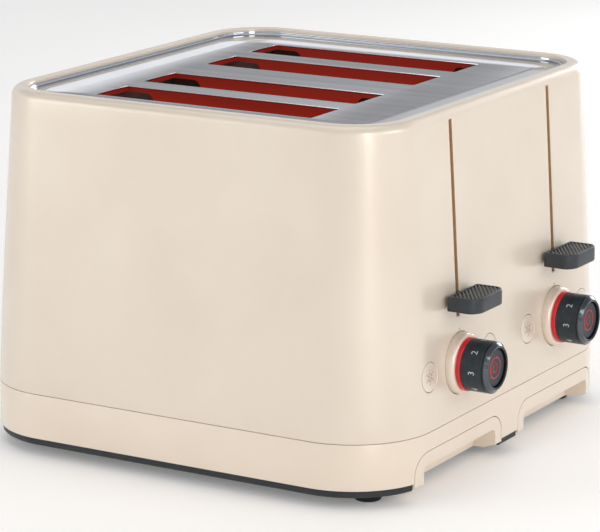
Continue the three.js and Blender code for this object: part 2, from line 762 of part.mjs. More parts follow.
function trayHandle(x) {
  const outline = archShape(x, tray.halfWidth, tray.bottom, tray.top, tray.radius);
  const block = facingFront(outline, [seam.front - 3, tray.back]);
  const fingers = facingFront(
    archShape(x, fingerGap.halfWidth, 0, fingerGap.top, fingerGap.radius),
    [seam.front - 4, fingerGap.back],
  );
  // The front edge underneath is cut off by a plane; what lies above the plane stays.
  const { height, depth } = trayChamfer;
  const slope = Math.hypot(height, depth);
  const normal = [0, height / slope, depth / slope];
  const offset = (height * seam.front + depth * (tray.bottom + height)) / slope;
  return block.intersect(casingBlock).subtract(fingers).trimByPlane(normal, offset);
}

function crumbPan(x) {
  const outer = box(about(x, pan.halfWidth), [pan.front, pan.back], [pan.floor, pan.top]);
  const inner = box(
    about(x, pan.halfWidth - pan.thickness), [pan.front + pan.thickness, pan.back - pan.thickness],
    [pan.floor + pan.thickness, pan.top + 5],
  );
  return outer.subtract(inner);
}

sides.forEach(({ name, sign }) => {
  add(`tray_handle_${name}`, trayHandle(sign * tray.x), trayCream);
  add(`crumb_pan_${name}`, crumbPan(sign * tray.x), brushedSteel);
});

// The knobs and the cord gland are the frontmost and rearmost points.
const frontmost = knobFaceY - knob.length;
const rearmost = seam.back + gap + gland.flangeThickness;
toaster.position.y = -(frontmost + rearmost) / 2;
toaster.updateMatrixWorld(true);

export default toaster;
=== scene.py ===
"""Looks of a four-slice pop-up toaster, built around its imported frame.

Metres, in the frame's axes: +Z is up, the control face looks along -Y, and left is -X as seen from
that face. Every piece is made in place, so its object sits at the origin.
"""

import math

import bmesh
import bpy
from mathutils import Matrix, Vector


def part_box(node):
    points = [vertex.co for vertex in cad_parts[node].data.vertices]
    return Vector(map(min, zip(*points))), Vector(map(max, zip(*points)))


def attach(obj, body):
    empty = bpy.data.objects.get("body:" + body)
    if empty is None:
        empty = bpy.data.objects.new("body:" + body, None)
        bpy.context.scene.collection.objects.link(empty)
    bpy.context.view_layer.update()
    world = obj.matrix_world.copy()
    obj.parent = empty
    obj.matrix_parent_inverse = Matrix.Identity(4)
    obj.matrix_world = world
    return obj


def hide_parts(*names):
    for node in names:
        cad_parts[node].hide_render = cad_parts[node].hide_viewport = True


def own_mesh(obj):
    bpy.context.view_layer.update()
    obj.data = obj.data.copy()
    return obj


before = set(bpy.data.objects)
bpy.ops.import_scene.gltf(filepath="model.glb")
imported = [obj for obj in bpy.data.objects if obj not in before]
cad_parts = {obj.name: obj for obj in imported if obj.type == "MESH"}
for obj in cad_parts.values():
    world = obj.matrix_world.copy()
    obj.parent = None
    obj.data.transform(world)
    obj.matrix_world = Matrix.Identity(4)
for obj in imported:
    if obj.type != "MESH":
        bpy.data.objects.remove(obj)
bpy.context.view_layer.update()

mm = 0.001
SIDES = (("left", -1), ("right", 1))
ENDS = (-1, 1)

# ---------------- sizes shared by several pieces

GAP = 0.3 * mm  # clearance between pieces that touch
WALL = 2.6 * mm  # moulded casing wall
EDGE = 0.45 * mm  # how far a moulded edge is rounded
SEAM_EDGE = 0.22 * mm  # the same where the casing meets the skirt
PAST = 5 * mm  # how far cutting tools reach past what they cut
CORNER_STEPS = 22  # points along each rounded corner of the casing
ROUND_STEPS = 72  # points round a knob
TAPER_POWER = 1.14  # how the sides curve from the seam up to the crown
SEAM_RADIUS = 48 * mm
CROWN_RADIUS = 37.4 * mm
RIM_WIDTH = 9.2 * mm  # the cream rim round the steel top
RIM_FILLET = 5 * mm
DISH_EDGE = RIM_WIDTH + GAP + 0.1 * mm

shell_low, shell_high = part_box("body_shell")
dish_low, dish_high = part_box("top_plate")
skirt_low, skirt_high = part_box("skirt")
SEAM_Z = shell_low.z - GAP / 2
RIM_Z = shell_high.z
CROWN_Z = RIM_Z - 1.5 * mm
SEAM = (shell_high.x, shell_low.y, shell_high.y, SEAM_RADIUS)
CROWN = (dish_high.x + DISH_EDGE, dish_low.y - DISH_EDGE, dish_high.y + DISH_EDGE, CROWN_RADIUS)


def node_middle(node):
    low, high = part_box(node)
    return (low + high) / 2


def half_width(node):
    low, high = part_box(node)
    return (high.x - low.x) / 2


def section(z):
    """Half width, front, back and corner radius of the casing at a height."""
    height = min(max((z - SEAM_Z) / (CROWN_Z - SEAM_Z), 0), 1)
    u = height ** TAPER_POWER
    return [low + (high - low) * u for low, high in zip(SEAM, CROWN)]


def face_y(z):
    return section(z)[1]


def ring(z, inset=0.0, corner=None, steps=CORNER_STEPS):
    """Points round the casing at height z, drawn in by inset."""
    half, front, back, radius = section(z)
    r = max(radius - inset, 0.5 * mm) if corner is None else corner
    middles = (
        (half - inset - r, back - inset - r),
        (-(half - inset - r), back - inset - r),
        (-(half - inset - r), front + inset + r),
        (half - inset - r, front + inset + r),
    )
    points = []
    for quarter, (x, y) in enumerate(middles):
        for step in range(steps + 1):
            angle = (quarter + step / steps) * math.pi / 2
            points.append((x + r * math.cos(angle), y + r * math.sin(angle), z))
    return points


# ---------------- mesh helpers


def placed(name, data):
    """A new object of the scene round a mesh, a curve, a light or a camera."""
    thing = bpy.data.objects.new(name, data)
    bpy.context.scene.collection.objects.link(thing)
    return thing


def object_from(name, vertices, faces):
    mesh = bpy.data.meshes.new(name)
    mesh.from_pydata([tuple(v) for v in vertices], [], faces)
    shape = bmesh.new()
    shape.from_mesh(mesh)
    bmesh.ops.remove_doubles(shape, verts=shape.verts, dist=1e-7)
    bmesh.ops.recalc_face_normals(shape, faces=shape.faces)
    shape.to_mesh(mesh)
    shape.free()
    return placed(name, mesh)


def quarter(steps):
    """Sine and cosine at even steps through a quarter turn."""
    angles = [step / steps * math.pi / 2 for step in range(steps + 1)]
    return [(math.sin(angle), math.cos(angle)) for angle in angles]


def loft(name, rings, looped=False):
    """A skin over rings of points. A looped one joins the last to the first; an open one is capped."""
    size = len(rings[0])
    vertices = [point for points in rings for point in points]
    faces = []
    for band in range(len(rings) if looped else len(rings) - 1):
        low = band * size
        high = (band + 1) % len(rings) * size
        for i in range(size):
            j = (i + 1) % size
            faces.append((low + i, low + j, high + j, high + i))
    if not looped:
        faces.append(tuple(reversed(range(size))))
        faces.append(tuple(range(len(vertices) - size, len(vertices))))
    return object_from(name, vertices, faces)


def lathe(name, profile, place=Matrix.Identity(4), steps=ROUND_STEPS):
    """Turns (radius, height) pairs about the local Z. The profile closes on itself or on the axis."""
    vertices = []
    for step in range(steps):
        turn = 2 * math.pi * step / steps
        for radius, height in profile:
            vertices.append(place @ Vector((radius * math.cos(turn), radius * math.sin(turn), height)))
    size = len(profile)
    faces = []
    closed = profile[0][0] > 0
    for step in range(steps):
        here = step * size
        there = (step + 1) % steps * size
        for i in range(size if closed else size - 1):
            j = (i + 1) % size
            corners = [here + i, there + i, there + j, here + j]
            if profile[i][0] == 0:
                corners.remove(there + i)
            if profile[j][0] == 0:
                corners.remove(there + j)
            if len(corners) > 2:
                faces.append(tuple(corners))
    return object_from(name, vertices, faces)


def filleted(points, steps=5):
    """A closed outline of (x, y) or (x, y, radius) corners, with each given radius as an arc."""
    outline = []
    count = len(points)
    for i, point in enumerate(points):
        here = Vector(point[:2])
        radius = point[2] if len(point) > 2 else 0
        if radius == 0:
            outline.append(tuple(here))
            continue
        before = (Vector(points[i - 1][:2]) - here).normalized()
        after = (Vector(points[(i + 1) % count][:2]) - here).normalized()
        half_angle = before.angle(after) / 2
        reach = radius / math.tan(half_angle)
        centre = here + (before + after).normalized() * radius / math.sin(half_angle)
        start = here + before * reach - centre
        turn = start.angle_signed(here + after * reach - centre)
        for step in range(steps + 1):
            arm = Matrix.Rotation(-turn * step / steps, 2) @ start
            outline.append(tuple(centre + arm))
    return outline


def rectangle(x0, x1, y0, y1):
    return [(x0, y0), (x1, y0), (x1, y1), (x0, y1)]


def rounded_rectangle(x0, x1, y0, y1, radius, steps=5):
    return filleted([(*corner, radius) for corner in rectangle(x0, x1, y0, y1)], steps)


def upright_prism(name, outline, z0, z1):
    """An outline in X and Y, given thickness along Z."""
    return loft(name, [[(x, y, z) for x, y in outline] for z in (z0, z1)])


def facing_prism(name, outline, y0, y1):
    """An outline in X and Z, given thickness along Y."""
    return loft(name, [[(x, y, z) for x, z in outline] for y in (y0, y1)])


def side_prism(name, outline, x0, x1):
    """An outline in Y and Z, given thickness along X."""
    return loft(name, [[(x, y, z) for y, z in outline] for x in (x0, x1)])


def box_between(name, low, high):
    x0, y0, z0 = low
    x1, y1, z1 = high
    return upright_prism(name, rectangle(x0, x1, y0, y1), z0, z1)


def arch(x, half, bottom, top, radius):
    return filleted([
        (x - half, bottom), (x + half, bottom), (x + half, top, radius), (x - half, top, radius),
    ], steps=10)


def final_mesh(source):
    """The mesh that an object's modifiers, curve or text come to."""
    return bpy.data.meshes.new_from_object(source.evaluated_get(bpy.context.evaluated_depsgraph_get()))


def settle(piece):
    """Applies the piece's modifiers to its mesh."""
    mesh = final_mesh(piece)
    old = piece.data
    piece.modifiers.clear()
    piece.data = mesh
    bpy.data.meshes.remove(old)
    return piece


def meshed(source):
    """The final mesh of a curve or text object, which is used up."""
    mesh = final_mesh(source)
    bpy.data.objects.remove(source)
    return mesh


def carve(piece, tools, operation="DIFFERENCE"):
    """Cuts, joins or intersects the piece with solids, which are used up."""
    group = bpy.data.collections.new("tools")
    bpy.context.scene.collection.children.link(group)
    for tool in tools:
        bpy.context.scene.collection.objects.unlink(tool)
        group.objects.link(tool)
    modifier = piece.modifiers.new("carve", "BOOLEAN")
    modifier.operation = operation
    modifier.solver = "EXACT"
    modifier.operand_type = "COLLECTION"
    modifier.collection = group
    settle(piece)
    for tool in tools:
        bpy.data.objects.remove(tool)
    bpy.data.collections.remove(group)
    return piece


def joined(name, meshes):
    """One object from several meshes."""
    shape = bmesh.new()
    for mesh in meshes:
        shape.from_mesh(mesh)
    whole = bpy.data.meshes.new(name)
    shape.to_mesh(whole)
    shape.free()
    return placed(name, whole)


def merged(name, parts):
    """One object from several separate pieces, which are used up."""
    meshes = [part.data for part in parts]
    for part in parts:
        bpy.data.objects.remove(part)
    return joined(name, meshes)


def softened(piece, width, segments=3, angle=32):
    """Rounds every edge that is sharper than the angle."""
    modifier = piece.modifiers.new("soften", "BEVEL")
    modifier.width = width
    modifier.segments = segments
    modifier.limit_method = "ANGLE"
    modifier.angle_limit = math.radians(angle)
    modifier.miter_outer = "MITER_ARC"
    return settle(piece)


def dress(piece, finish, body, nodes=(), sharp=38):
    """Shades the piece, gives it its material, ties it to its body and hides the CAD nodes it stands for.
    """
    piece.data.shade_smooth()
    piece.data.set_sharp_from_angle(angle=math.radians(sharp))
    piece.data.materials.clear()
    piece.data.materials.append(finish.material)
    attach(piece, body)
    if nodes:
        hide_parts(*nodes)
    return piece


def under(node):
    """The place on the ground under a node's middle."""
    middle = node_middle(node)
    return Matrix.Translation((middle.x, middle.y, 0))


def face_place(x, z, upright=False):
    """Local +Z points out of the control face at (x, z): along its normal, or straight along -Y."""
    step = 1 * mm
    tilt = 0 if upright else math.atan((face_y(z + step) - face_y(z - step)) / (2 * step))
    turn = Matrix.Rotation(math.pi / 2 - tilt, 4, "X")
    return Matrix.Translation((x, face_y(z), z)) @ turn


# ---------------- materials


def srgb(code):
    channels = [int(code[i:i + 2], 16) / 255 for i in (1, 3, 5)]
    linear = [c / 12.92 if c <= 0.04045 else ((c + 0.055) / 1.055) ** 2.4 for c in channels]
    return (*linear, 1.0)


def fill_ramp(node, stops):
    elements = node.color_ramp.elements
    while len(elements) < len(stops):
        elements.new(0.5)
    for element, (position, colour) in zip(elements, stops):
        element.position = position
        element.color = colour


class Finish:
    """A material round one Principled shader, with the nodes that vary it.
    """

    def __init__(self, name, colour, roughness, metallic=0.0, **sockets):
        self.name = name
        self.material = bpy.data.materials.new(name)
        self.material.use_nodes = True
        self.nodes = self.material.node_tree.nodes
        self.links = self.material.node_tree.links
        self.shader = next(n for n in self.nodes if n.type == "BSDF_PRINCIPLED")
        self.place = self.nodes.new("ShaderNodeTexCoord").outputs["Object"]
        self.last_bump = None
        self.set("Base Color", srgb(colour))
        self.set("Roughness", roughness)
        self.set("Metallic", metallic)
        for words, value in sockets.items():
            self.set(words.replace("_", " ").title().replace("Ior", "IOR"), value)

    def set(self, socket, value):
        self.shader.inputs[socket].default_value = value

    def texture(self, kind, vector, **inputs):
        node = self.nodes.new(kind)
        for socket, value in inputs.items():
            node.inputs[socket].default_value = value
        self.links.new(vector, node.inputs["Vector"])
        return node

    def stretched(self, stretch):
        return self.texture("ShaderNodeMapping", self.place, Scale=stretch).outputs["Vector"]

    def noise(self, scale, detail=2.0, stretch=(1, 1, 1)):
        vector = self.stretched(stretch)
        return self.texture("ShaderNodeTexNoise", vector, Scale=scale, Detail=detail).outputs["Fac"]

    def cells(self, scale, stretch=(1, 1, 1)):
        vector = self.stretched(stretch)
        return self.texture("ShaderNodeTexVoronoi", vector, Scale=scale).outputs["Distance"]

    def waves(self, scale, distortion=0.0):
        """Bands across Z."""
        texture = self.texture("ShaderNodeTexWave", self.place, Scale=scale, Distortion=distortion)
        texture.bands_direction = "Z"
        return texture.outputs["Fac"]

    def along(self, axis, start, end):
        """0 at start and 1 at end of a stretch along one axis of the frame."""
        split = self.nodes.new("ShaderNodeSeparateXYZ")
        self.links.new(self.place, split.inputs["Vector"])
        return self.ranged(split.outputs[axis], start, end, 0, 1)

    def ranged(self, value, from_low, from_high, to_low, to_high):
        node = self.nodes.new("ShaderNodeMapRange")
        numbers = (from_low, from_high, to_low, to_high)
        for socket, number in zip(("From Min", "From Max", "To Min", "To Max"), numbers):
            node.inputs[socket].default_value = number
        self.links.new(value, node.inputs["Value"])
        return node.outputs["Result"]

    def ramp(self, value, *stops):
        node = self.nodes.new("ShaderNodeValToRGB")
        fill_ramp(node, [(position, srgb(colour)) for position, colour in stops])
        self.links.new(value, node.inputs["Fac"])
        return node.outputs["Color"]

    def colour(self, value, *stops):
        self.links.new(self.ramp(value, *stops), self.shader.inputs["Base Color"])
        return self

    def clouded(self, scale, detail, dark, light, stretch=(1, 1, 1)):
        """A colour that drifts between two near shades."""
        return self.colour(self.noise(scale, detail, stretch), (0.3, dark), (0.7, light))

    def glow(self, strength, value, *stops):
        self.links.new(self.ramp(value, *stops), self.shader.inputs["Emission Color"])
        self.set("Emission Strength", strength)
        return self

    def roughness(self, value, low, high):
        self.links.new(self.ranged(value, 0.3, 0.7, low, high), self.shader.inputs["Roughness"])
        return self

    def bump(self, value, depth, strength):
        node = self.nodes.new("ShaderNodeBump")
        node.inputs["Strength"].default_value = strength
        node.inputs["Distance"].default_value = depth
        self.links.new(value, node.inputs["Height"])
        if self.last_bump:
            self.links.new(self.last_bump, node.inputs["Normal"])
        self.last_bump = node.outputs["Normal"]
        self.links.new(self.last_bump, self.shader.inputs["Normal"])
        return self


def moulded(name, dark, light, roughness, peel=1.0, **sockets):
    """Painted or moulded plastic: faint clouding, a fine orange-peel surface and uneven gloss."""
    finish = Finish(name, light, roughness, **sockets)
    finish.clouded(16, 4, dark, light)
    finish.roughness(finish.noise(220, 3), roughness - 0.03, roughness + 0.04)
    finish.bump(finish.noise(900, 2), 0.02 * mm * peel, 0.5)
    finish.bump(finish.noise(60, 2), 0.05 * mm * peel, 0.25)
    return finish


def grained(name, dark, light, roughness, grain=1500, depth=0.05 * mm, **sockets):
    """Textured engineering plastic or rubber with a fine leather grain."""
    finish = Finish(name, light, roughness, **sockets)
    finish.clouded(300, 4, dark, light)
    finish.roughness(finish.noise(90, 3), roughness - 0.06, roughness + 0.06)
    finish.bump(finish.cells(grain), depth, 0.45)
    return finish


def brushed(name, dark, light, roughness, stretch, metallic=1.0, depth=0.004 * mm, **sockets):
    """Rolled steel with fine brush lines along one direction."""
    finish = Finish(name, light, roughness, metallic, **sockets)
    lines = finish.noise(140, 5, stretch)
    finish.clouded(24, 3, dark, light)
    finish.roughness(lines, roughness * 0.9, roughness * 1.2)
    finish.bump(lines, depth, 0.5)
    return finish


CREAM = moulded("cream_casing", "#dbcebd", "#e0d4c4", 0.38, metallic=0.2, coat_weight=0.6,
                coat_roughness=0.16)
CREAM_GLOSS = moulded("cream_gloss", "#decfbd", "#e3d5c4", 0.34, 0.2, metallic=0.18, coat_weight=0.7,
                      coat_roughness=0.1)
MARK_BROWN = grained("icon_brown", "#a38a70", "#ad957b", 0.5)
# Painted shade: the tan-brown colour of the strips inside the lever slots stands in for the shade on the
# slot walls.
SLOT_SHADE = grained("slot_shade", "#bb9468", "#c9a074", 0.5)
STEEL = brushed("polished_steel", "#b6b9be", "#bec2c7", 0.075, (1, 0.02, 1), depth=0.0008 * mm)
SMOKED = brushed("smoked_chrome", "#585e65", "#666c74", 0.13, (1, 1, 1), depth=0.001 * mm)
CHASSIS = brushed("chassis_steel", "#7b7d7f", "#8e9092", 0.42, (1, 1, 0.04))
REFLECTOR = brushed("reflector_steel", "#6a6058", "#7b7067", 0.36, (1, 0.03, 1))
PAN_STEEL = brushed("pan_steel", "#9fa2a5", "#b4b6b9", 0.34, (0.03, 1, 1))
WIRE = brushed("wire_steel", "#7f7a76", "#98938e", 0.34, (1, 1, 0.1))
SPRING = brushed("spring_steel", "#67696c", "#808285", 0.32, (1, 1, 1))
SCREW = brushed("screw_steel", "#7b7e81", "#909396", 0.36, (1, 1, 1))
CHROME = brushed("chrome", "#c6c9cd", "#d3d6d9", 0.1, (1, 1, 1))
BLACK = grained("black_plastic", "#15171a", "#1f2226", 0.5)
RUBBER = grained("rubber", "#131415", "#1d1e20", 0.8, grain=900)
SLATE = grained("slate_plastic", "#232a2f", "#2d353b", 0.4, depth=0.03 * mm)
KNOB = grained("knob_black", "#272e34", "#31393f", 0.42, depth=0.03 * mm, specular_ior_level=0.28)
KNOB_GLOSS = grained("knob_gloss", "#0e1012", "#16191b", 0.18, depth=0.01 * mm)
MARK_GREY = grained("mark_grey", "#b4babd", "#c6cbcd", 0.5, depth=0.01 * mm)
BOARD = grained("circuit_board", "#16432b", "#22633f", 0.45, grain=260)


RED_LENS = Finish("red_lens", "#7d0408", 0.2, coat_weight=0.2, coat_roughness=0.08)
RED_LENS.clouded(120, 3, "#760409", "#8e080e")
RED_LENS.roughness(RED_LENS.noise(80, 2), 0.16, 0.24)
RED_LENS.glow(0.55, RED_LENS.noise(60, 2), (0.3, "#a81c24"), (0.7, "#b8222b"))

RED_MARK = Finish("red_mark", "#8c1014", 0.4)
RED_MARK.clouded(300, 2, "#861015", "#94151a")
RED_MARK.glow(0.3, RED_MARK.noise(200, 2), (0.3, "#a3141a"), (0.7, "#b81d22"))

# The slot linings: dark steel with painted red light from the elements below: a red-tinted colour and a
# painted glow that grows brighter deeper down.
LINING_PAINTED_GLOW = Finish("glowing_steel", "#4c0e06", 0.42, 0.35)
LINING_PAINTED_GLOW.clouded(40, 3, "#450b05", "#5c1409", (1, 0.3, 1))
LINING_PAINTED_GLOW.roughness(LINING_PAINTED_GLOW.noise(120, 3, (1, 0.05, 1)), 0.36, 0.5)
LINING_PAINTED_GLOW.bump(LINING_PAINTED_GLOW.noise(400, 3, (1, 0.05, 1)), 0.01 * mm, 0.4)
LINING_PAINTED_GLOW.glow(0.75, LINING_PAINTED_GLOW.along("Z", dish_low.z - 12 * mm, dish_low.z),
             (0.0, "#9c2a12"), (0.55, "#861a0a"), (1.0, "#6a1106"))

MICA = Finish("heater_mica", "#7d5236", 0.65)
MICA.colour(MICA.cells(160, (1, 1, 1.6)), (0.1, "#6b4229"), (0.6, "#8b6040"))
MICA.roughness(MICA.noise(150, 3), 0.55, 0.75)
MICA.bump(MICA.noise(500, 4), 0.05 * mm, 0.5)
# Painted glow: red bands of emission on the mica board stand in for the light of the ribbons wound on it.
MICA.glow(0.35, MICA.waves(8, 1.5), (0.2, "#3a0903"), (0.8, "#7a1a08"))

RIBBON = Finish("heater_ribbon", "#5a2a18", 0.5, 0.7)
RIBBON.clouded(200, 3, "#4b2012", "#6a3520")
RIBBON.roughness(RIBBON.noise(300, 2), 0.42, 0.58)
RIBBON.bump(RIBBON.noise(700, 2), 0.03 * mm, 0.4)
RIBBON.glow(1.3, RIBBON.noise(18, 2, (1, 1, 0.4)), (0.3, "#e03a0c"), (0.7, "#ff6a20"))

COPPER = Finish("copper_coil", "#9a4d26", 0.35, 0.85)
COPPER.clouded(60, 3, "#8d4420", "#ad5b30")
copper_turns = COPPER.waves(190)
COPPER.roughness(copper_turns, 0.3, 0.42)
COPPER.bump(copper_turns, 0.25 * mm, 0.8)

# ---------------- casing


knob_at = {name: node_middle(f"knob_collar_{name}") for name, _ in SIDES}
KNOB_Z = knob_at["left"].z
COLLAR_RADIUS = half_width("knob_collar_left")
BUTTON_RADIUS = half_width("function_button_left_a")
LEVER_SLOT_HALF = 1.95 * mm
LEVER_SLOT_SPAN = (92.5 * mm, 200.7 * mm)
BEHIND_FACE = 14 * mm  # how deep the tools that cut the face reach
POINTER_RADIUS = 0.7 * mm  # the small pit over each knob that its numbers turn past
POINTER_DEPTH = 0.5 * mm
POINTER_REACH = 1.5 * mm


def casing_profile():
    """Rings round the shell's wall: up the outside, over the rim and down the inside."""
    bottom = SEAM_Z + GAP / 2
    rings = [ring(bottom + SEAM_EDGE * (1 - cosine), SEAM_EDGE * (1 - sine)) for sine, cosine in quarter(3)]
    side_top = RIM_Z - RIM_FILLET
    levels = 18
    for level in range(1, levels):
        rings.append(ring(bottom + EDGE + (side_top - bottom - EDGE) * level / levels))
    for sine, cosine in quarter(9):
        rings.append(ring(side_top + RIM_FILLET * sine, RIM_FILLET * (1 - cosine)))
    lip = 0.8 * mm
    for sine, cosine in quarter(4):
        rings.append(ring(RIM_Z - lip + lip * cosine, RIM_WIDTH - lip + lip * sine))
    lip_bottom = RIM_Z - 6 * mm
    rings.append(ring(lip_bottom, RIM_WIDTH))
    rings.append(ring(lip_bottom, WALL + 4 * mm))
    for level in (0.95, 0.7, 0.45, 0.2):
        rings.append(ring(SEAM_Z + (CROWN_Z - SEAM_Z) * level, WALL))
    rings.append(ring(bottom, WALL))
    return rings


def slot_flare(x, half, z0, z1):
    """A shallow trough along the mouth of an upright slot in the face, which chamfers its edges."""
    width = EDGE
    steps = 14
    stations = [(z0 - width, 0)]
    stations += [(z0 + (z1 - z0) * step / steps, width) for step in range(steps + 1)]
    stations += [(z1 + width, 0)]
    rings = []
    for z, depth in stations:
        y = face_y(z)
        near = half + width - depth
        far = half + 2 * width
        corners = [(-far, -width), (far, -width), (near, depth), (-near, depth)]
        rings.append([(x + across, y + inward, z) for across, inward in corners])
    return loft("flare", rings)


def round_cutters(x, z, radius, edge):
    """A straight bore into the face and the cone that breaks its edge."""
    bore = rectangle(0, radius, -BEHIND_FACE, BEHIND_FACE)
    cone = [(0, -edge), (radius, -edge), (radius + 2 * edge, edge), (0, edge)]
    return [
        lathe("bore", bore, face_place(x, z, upright=True)),
        lathe("cone", cone, face_place(x, z)),
    ]


def make_casing():
    shell = loft("casing", casing_profile(), looped=True)
    z0, z1 = LEVER_SLOT_SPAN
    tools = []
    for name, _ in SIDES:
        x = knob_at[name].x
        tools.append(box_between("slot", (x - LEVER_SLOT_HALF, shell_low.y - PAST, z0),
                                 (x + LEVER_SLOT_HALF, shell_low.y + PAST + BEHIND_FACE, z1)))
        tools.append(slot_flare(x, LEVER_SLOT_HALF, z0, z1))
        tools += round_cutters(x, KNOB_Z, COLLAR_RADIUS + GAP, 0.2 * mm)
        for letter in "ab":
            button = node_middle(f"function_button_{name}_{letter}")
            tools += round_cutters(button.x, KNOB_Z, BUTTON_RADIUS + GAP, 0.22 * mm)
        pointer = rectangle(0, POINTER_RADIUS, -POINTER_DEPTH, mm)
        tools.append(lathe("pointer", pointer, face_place(x, KNOB_Z + COLLAR_RADIUS + POINTER_REACH), 20))
    carve(shell, tools)
    return dress(shell, CREAM, "body", ["body_shell"], sharp=30)


def make_slot_shades():
    """Painted shade: tan-brown strips along both sides of each lever slot, inside the wall, standing in for
    the shade on the slot's side walls.
    """
    z0, z1 = LEVER_SLOT_SPAN
    thick = 0.06 * mm
    margin = 0.1 * mm
    steps = 12
    for name, _ in SIDES:
        strips = []
        for side in ENDS:
            near = knob_at[name].x + side * LEVER_SLOT_HALF
            far = near - side * thick
            rings = []
            for step in range(steps + 1):
                z = z0 + (z1 - z0) * step / steps
                front = face_y(z) + EDGE + margin
                back = face_y(z) + WALL - margin
                rings.append([(x, y, z) for x, y in rectangle(near, far, front, back)])
            strips.append(loft("strip", rings))
        shade = merged(f"slot_shade_{name}", strips)
        dress(shade, SLOT_SHADE, "body")


TRAY_CLEARANCE = 0.4 * mm
TRAY_RADIUS = 12 * mm


def tray_outline(name, clearance, bottom):
    node = f"tray_handle_{name}"
    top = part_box(node)[1].z + clearance
    return arch(node_middle(node).x, half_width(node) + clearance, bottom, top, TRAY_RADIUS)


def band_profile(bottom, top, inner):
    """Rings round an upright band with rounded outer edges."""
    rings = [ring(bottom + EDGE * (1 - cosine), EDGE * (1 - sine)) for sine, cosine in quarter(3)]
    rings += [ring(top - SEAM_EDGE * (1 - sine), SEAM_EDGE * (1 - cosine)) for sine, cosine in quarter(3)]
    return rings + [ring(top, inner), ring(bottom, inner)]


FOOT_SCREWS = [(f"foot_screw_{end}_{name}", f"foot_{end}_{name}")
               for end in ("front", "rear") for name, _ in SIDES]
SCREW_CLEARANCE = 2.2 * mm
BOSS_RADIUS = 5 * mm
BOSS_TOP = 30 * mm
VENT_ROWS = 4
VENT_PITCH = 30 * mm
VENT_Y = 8 * mm
VENT_HALF_LENGTH = 30 * mm
VENT_HALF_WIDTH = 2 * mm
GLAND_HOLE = 6.5 * mm
GLAND_BORE = 3.6 * mm
GLAND_SLEEVE = 6.2 * mm
gland_low, gland_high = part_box("cord_gland")
GLAND_Z = node_middle("cord_gland").z


def make_skirt():
    band = loft("skirt_band", band_profile(skirt_low.z, skirt_high.z, WALL), looped=True)
    tools = [
        facing_prism("arch", tray_outline(name, TRAY_CLEARANCE, skirt_low.z - PAST),
                     skirt_low.y - PAST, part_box(f"tray_handle_{name}")[1].y + 2 * mm)
        for name, _ in SIDES
    ]
    gland_place = Matrix.Translation((0, skirt_high.y, GLAND_Z)) @ Matrix.Rotation(math.pi / 2, 4, "X")
    tools.append(lathe("hole", rectangle(0, GLAND_HOLE, -9 * mm, 9 * mm), gland_place))
    carve(band, tools)
    bosses = []
    for screw, _ in FOOT_SCREWS:
        tube = rectangle(SCREW_CLEARANCE, BOSS_RADIUS, skirt_low.z, BOSS_TOP)
        bosses.append(lathe("boss", tube, under(screw), 28))
    skirt = merged("skirt_band", [band, *bosses])
    return dress(skirt, CREAM_GLOSS, "body", ["skirt"], sharp=30)


def make_base():
    low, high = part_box("base_plate")
    inset = shell_high.x - high.x
    round_edge = 0.8 * mm
    above = 20 * mm
    rings = [ring(low.z, inset + round_edge), ring(low.z + round_edge, inset), ring(high.z, inset)]
    plate = loft("base_plate_black", rings)
    tools = []
    for name, _ in SIDES:
        tray_low, tray_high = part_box(f"tray_handle_{name}")
        tools.append(box_between("notch", (tray_low.x - GAP, low.y - PAST, -mm),
                                 (tray_high.x + GAP, tray_high.y + GAP, above)))
        x = (tray_low.x + tray_high.x) / 2
        for row in range(VENT_ROWS):
            y = (row - (VENT_ROWS - 1) / 2) * VENT_PITCH + VENT_Y
            vent = rounded_rectangle(x - VENT_HALF_LENGTH, x + VENT_HALF_LENGTH,
                                     y - VENT_HALF_WIDTH, y + VENT_HALF_WIDTH, 1.9 * mm)
            tools.append(upright_prism("vent", vent, -mm, above))
    for screw, _ in FOOT_SCREWS:
        tools.append(lathe("hole", rectangle(0, SCREW_CLEARANCE, -mm, above), under(screw), 24))
    carve(plate, tools)
    return dress(plate, BLACK, "body", ["base_plate"], sharp=30)


def make_feet():
    for _, foot in FOOT_SCREWS:
        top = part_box(foot)[1].z
        radius = half_width(foot)
        profile = filleted([
            (SCREW_CLEARANCE, 3.5 * mm), (4 * mm, 3.5 * mm), (4 * mm, 0, 0.5 * mm),
            (radius, 0, 1.2 * mm), (radius, top, 0.4 * mm), (SCREW_CLEARANCE, top),
        ])
        pad = lathe(f"{foot}_pad", profile, under(foot), 40)
        dress(pad, RUBBER, "body", [foot])


def make_gland():
    """The bush that the mains lead leaves by: a flange, and a sleeve through the skirt."""
    place = Matrix.Translation((0, gland_high.y, GLAND_Z)) @ Matrix.Rotation(-math.pi / 2, 4, "X")
    depth = gland_high.y - gland_low.y
    flange = (gland_high.z - gland_low.z) / 2
    profile = filleted([
        (GLAND_BORE, -depth), (GLAND_SLEEVE, -depth), (GLAND_SLEEVE, -2.5 * mm),
        (flange, -2.5 * mm, 0.5 * mm), (flange, 0, 1.4 * mm), (GLAND_BORE, 0, 0.9 * mm),
    ])
    bush = lathe("cord_bush", profile, place, 48)
    dress(bush, RUBBER, "body", ["cord_gland"])


# ---------------- steel top

PLATE = 0.8 * mm
PLATE_Z = dish_low.z + PLATE
SLOT_HALF_LENGTH = 70.1 * mm
SLOTS = ((33.3 * mm, 16.7 * mm), (81.9 * mm, 15.8 * mm))
SLOT_Y = node_middle("slot_lining_left").y
SLOPE_WIDTH = 20 * mm  # the border that rises from the flat middle towards the flange
SLOPE_RISE = 0.9 * mm
SLOPE_POWER = 1.08
INNER_CORNER = 6 * mm
FLANGE_FOOT = 2.4 * mm  # from the outer edge to where the slope ends
FLANGE_BEND = 1.1 * mm
NOTCH_START = SLOT_HALF_LENGTH - 18 * mm  # the sleeves are cut away from here to their ends
NOTCH_DROP = 2.2 * mm
NOTCH_FILLET = 5 * mm


